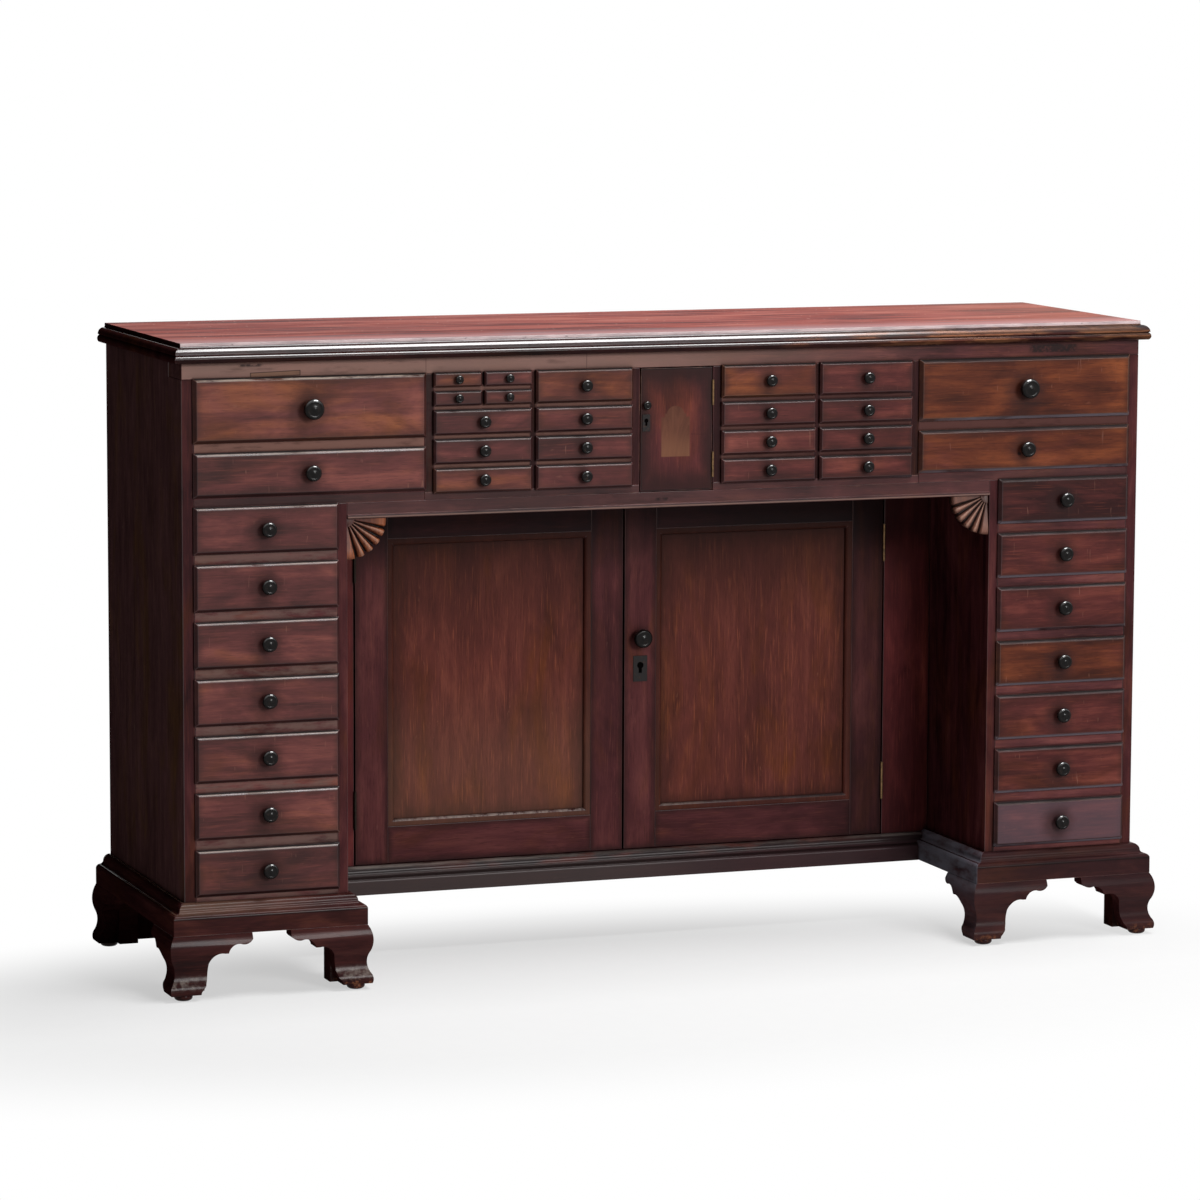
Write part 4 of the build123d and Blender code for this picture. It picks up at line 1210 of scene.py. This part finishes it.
def carved_fan(low, high, side):
    """One quarter fan of ribs and hollows round a hub, in the upper corner of its box."""
    radius = high.z - low.z
    corner = Vector((low.x if side < 0 else high.x, high.y, high.z))
    ground = high.y - FAN_GROUND
    relief = ground - low.y
    root = FAN_HUB_SHARE * RIB_ROOT
    bm = bmesh.new()
    bmesh.ops.create_grid(bm, x_segments=FAN_RIBS * FAN_STEPS, y_segments=FAN_RINGS, size=0.5)
    crowns = bm.verts.layers.float.new("crown")
    for v in bm.verts:
        turn, out = v.co.x + 0.5, v.co.y + 0.5
        height = rib_height(turn)
        reach = 1.0 if height > GROOVE_HEIGHT else GROOVE_REACH
        r = radius * (root + (reach - root) * out)
        droop = 1 - FAN_DROOP * max(0.0, out - FAN_RIM) / (1 - FAN_RIM)
        v[crowns] = height
        v.co = (
            corner.x - side * r * math.cos(turn * math.pi / 2),
            ground - relief * height * (RIB_START + (1 - RIB_START) * out) * droop,
            corner.z - r * math.sin(turn * math.pi / 2),
        )
    backs = bmesh.ops.extrude_face_region(bm, geom=bm.faces[:], use_keep_orig=True)["geom"]
    for v in backs:
        if isinstance(v, bmesh.types.BMVert):
            v.co.y = corner.y
            v[crowns] = 0.0
    bmesh.ops.recalc_face_normals(bm, faces=bm.faces)
    hub = fan_hub(corner, radius * FAN_HUB_SHARE, ground - relief * HUB_RELIEF, side)
    for part in (bm, hub):
        lay_grain(part, "z", random.Random(f"fan{side}"))
    return joined([bm, hub])


def fan_hub(corner, radius, front, side):
    """The quarter disc at the corner of a fan."""
    bm = bmesh.new()
    middle = Matrix.Translation((corner.x, (corner.y + front) / 2, corner.z))
    bmesh.ops.create_cone(
        bm, cap_ends=True, segments=HUB_STEPS, radius1=radius, radius2=radius,
        depth=corner.y - front, matrix=middle @ Matrix.Rotation(math.pi / 2, 4, "X"),
    )
    for normal in ((side, 0, 0), (0, 0, 1)):
        cut = bmesh.ops.bisect_plane(
            bm, geom=bm.verts[:] + bm.edges[:] + bm.faces[:], plane_co=corner, plane_no=normal,
            clear_outer=True,
        )
        rim = [e for e in cut["geom_cut"] if isinstance(e, bmesh.types.BMEdge)]
        bmesh.ops.edgeloop_fill(bm, edges=rim)
    bmesh.ops.recalc_face_normals(bm, faces=bm.faces)
    soften(bm, radius * HUB_ARRIS, 0)
    crowns = bm.verts.layers.float.new("crown")
    for v in bm.verts:
        v[crowns] = HUB_CROWN
    return bm


class CABINET_OT_fans(bpy.types.Operator):
    """Carves the two fans in the corners of the kneehole"""

    bl_idname = "cabinet.fans"
    bl_label = "Carved fans"

    def execute(self, context):
        parts = []
        for side, bm in zip((-1, 1), solids_of("fan_spandrels")):
            parts.append(carved_fan(*extent(bm), side))
            bm.free()
        show(
            "fan_carving", joined(parts), "case", [finish("carved fan", carved_wood)],
            ["fan_spandrels"],
        )
        return {"FINISHED"}


class CABINET_OT_doors(bpy.types.Operator):
    """Softens and grains the doors"""

    bl_idname = "cabinet.doors"
    bl_label = "Doors"

    def execute(self, context):
        width = context.scene.cabinet_sizes.front_arris
        for side in ("left", "right"):
            boards(f"{side}_door_frame", "door", axes="xz", arris=width)
            boards(f"{side}_door_panel", "panel", axes="xz", arris=width)
        boards("small_door", "small door", axis="z", arris=width)
        return {"FINISHED"}


class CABINET_OT_drawers(bpy.types.Operator):
    """Builds the drawers: bevelled fronts, boxes and turned knobs"""

    bl_idname = "cabinet.drawers"
    bl_label = "Drawers"

    def execute(self, context):
        width = context.scene.cabinet_sizes.front_arris
        for node in DRAWERS:
            draw = random.Random(node)
            body = BODY_OF[node]
            box = solids_of(node)
            knob = foremost(box)
            box.remove(knob)
            front = foremost(box)
            box.remove(front)
            soften(front, width)
            turn_faces(front, "front")
            drawn = draw.uniform(*FRONT_LIGHTNESS), draw.uniform(*FRONT_WARMTH)
            lay_grain(front, "x", draw, *FRONT_TONES.get(node, drawn))
            show(f"{node}_front", front, body, woods("front"), [node])
            for bm in box:
                soften(bm, width)
                lay_grain(bm, long_axis(bm, "xy"), draw)
            show(f"{node}_lining", joined(box), body, woods("lining"))
            show_knob(node, knob)
        return {"FINISHED"}


def keyhole(low, high):
    """A dark leaf at the back of a lock plate, painted shade that shows through its keyhole."""
    bm = bmesh.new()
    size = Vector([(high - low)[i] * KEYHOLE_SHARES[i] for i in range(3)])
    middle = (low + high) / 2
    middle.y = high.y - size.y / 2
    shape = Matrix.Translation(middle) @ Matrix.Diagonal((*size, 1.0))
    bmesh.ops.create_cube(bm, size=1.0, matrix=shape)
    return bm


class CABINET_OT_fittings(bpy.types.Operator):
    """Builds the knobs, lock plates and hinges of the doors"""

    bl_idname = "cabinet.fittings"
    bl_label = "Door fittings"

    def execute(self, context):
        fine = context.scene.cabinet_sizes.metal_arris
        iron, dark = finish("old iron", old_iron), finish("keyhole", keyhole_shadow)
        for node in ("right_door_fittings", "small_door_fittings"):
            body = BODY_OF[node]
            plates = solids_of(node)
            knob = foremost(plates)
            plates.remove(knob)
            for bm in plates:
                soften(bm, fine, 0)
            leaf = keyhole(*extent(foremost(plates)))
            show(f"{node}_keyhole", leaf, body, [dark])
            show(f"{node}_lock", joined(plates), body, [iron], [node])
            show_knob(node, knob)
        brass = finish("old brass", old_brass)
        for node in ("fixed_hinges", "left_door_hinges", "right_door_hinges", "small_door_hinges"):
            solids = solids_of(node)
            for bm in solids:
                soften(bm, fine, 0)
            show(f"{node}_brass", joined(solids), BODY_OF[node], [brass], [node])
        return {"FINISHED"}


def seen(s):
    """1 for the rays that show the studio itself: to the camera, in gloss and through glass."""
    camera, glossy, through = (
        s.add("ShaderNodeLightPath", None, f"Is {ray} Ray")
        for ray in ("Camera", "Glossy", "Transmission")
    )
    return camera.most(glossy).most(through)


def floor_finish(s):
    """A pale floor with the shadow of the cabinet, which fades to white away from it."""
    where, (x, y, _) = s.place()
    far = away(
        (x - SHADOW_MIDDLE[0]) / SHADOW_REACH[0], (y - SHADOW_MIDDLE[1]) / SHADOW_REACH[1]
    )
    white = s.step(far, 0.7, 1.45) * 0.46 + 0.54
    speckle = s.noise(where, (40, 40, 40), 2.0)
    pale = s.mix(speckle, (0.64, 0.64, 0.64), (0.61, 0.61, 0.61))
    ground = s.add("ShaderNodeBsdfDiffuse", {"Color": pale})
    glow = s.add("ShaderNodeEmission", {"Color": (1.0, 1.0, 1.0, 1.0), "Strength": 1.0})
    both = s.add("ShaderNodeMixShader", {0: white * seen(s), 1: ground, 2: glow})
    s.add("ShaderNodeOutputMaterial", {"Surface": both})


def area_light(name, place, target, size, power):
    """A soft light, so wide and so high, aimed at a point."""
    data = bpy.data.lights.new(name, "AREA")
    data.shape = "RECTANGLE"
    data.size, data.size_y = size
    data.energy = power
    light = bpy.data.objects.new(name, data)
    light.location = place
    light.rotation_euler = (Vector(target) - Vector(place)).to_track_quat("-Z", "Y").to_euler()
    bpy.context.scene.collection.objects.link(light)


class CABINET_OT_stage(bpy.types.Operator):
    """Sets the floor, the light and the camera"""

    bl_idname = "cabinet.stage"
    bl_label = "Stage"

    def execute(self, context):
        stage = context.scene.cabinet_stage
        bm = bmesh.new()
        bmesh.ops.create_grid(bm, x_segments=1, y_segments=1, size=FLOOR_REACH)
        mesh = bpy.data.meshes.new("studio_floor")
        bm.to_mesh(mesh)
        bm.free()
        floor = bpy.data.objects.new("studio_floor", mesh)
        context.scene.collection.objects.link(floor)
        mesh.materials.append(finish("studio floor", floor_finish))
        area_light("key", *KEY_LIGHT, stage.key_power)
        area_light("overhead", *TOP_LIGHT, stage.top_power)
        world = bpy.data.worlds.new("studio")
        context.scene.world = world
        world.use_nodes = True
        s = Shader(world.node_tree)
        shown = seen(s)
        level = shown + (1 - shown) * stage.ambient
        light = s.add("ShaderNodeBackground", {"Color": (1.0, 1.0, 1.0, 1.0), "Strength": level})
        s.add("ShaderNodeOutputWorld", {"Surface": light})
        self.camera(context, stage)
        context.scene.view_settings.view_transform = "Standard"
        return {"FINISHED"}

    def camera(self, context, stage):
        data = bpy.data.cameras.new("camera")
        data.sensor_width = SENSOR
        data.lens = stage.lens
        data.clip_end = VIEW_REACH
        camera = bpy.data.objects.new("camera", data)
        turn = (
            Matrix.Rotation(-stage.yaw, 4, "Z")
            @ Matrix.Rotation(math.pi / 2 + stage.pitch, 4, "X")
            @ Matrix.Rotation(stage.roll, 4, "Z")
        )
        eye = Vector(stage.eye) + Vector((0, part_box("end_panels")[0].y, 0))
        camera.matrix_world = Matrix.Translation(eye) @ turn
        context.scene.collection.objects.link(camera)
        context.scene.camera = camera


OPERATORS = (
    CABINET_OT_case, CABINET_OT_base, CABINET_OT_fans, CABINET_OT_doors, CABINET_OT_drawers,
    CABINET_OT_fittings, CABINET_OT_stage,
)
GROUPS = {
    "cabinet_sizes": CabinetSizes,
    "cabinet_colours": CabinetColours,
    "cabinet_stage": CabinetStage,
}


class CABINET_PT_panel(bpy.types.Panel):
    """The cabinet's pieces, sizes and colours"""

    bl_idname = "CABINET_PT_panel"
    bl_label = "Collectors Cabinet"
    bl_space_type = "VIEW_3D"
    bl_region_type = "UI"
    bl_category = "Cabinet"

    def draw(self, context):
        for group in GROUPS:
            settings = getattr(context.scene, group)
            for name in settings.__annotations__:
                self.layout.prop(settings, name)
        for operator in OPERATORS:
            self.layout.operator(operator.bl_idname)


CLASSES = (*GROUPS.values(), *OPERATORS, CABINET_PT_panel)


def register():
    for item in CLASSES:
        bpy.utils.register_class(item)
    for name, group in GROUPS.items():
        setattr(bpy.types.Scene, name, bpy.props.PointerProperty(type=group))


def unregister():
    for name in GROUPS:
        delattr(bpy.types.Scene, name)
    for item in reversed(CLASSES):
        bpy.utils.unregister_class(item)


def main():
    register()
    for operator in OPERATORS:
        group, name = operator.bl_idname.split(".")
        getattr(getattr(bpy.ops, group), name)()


if __name__ == "__main__":
    main()
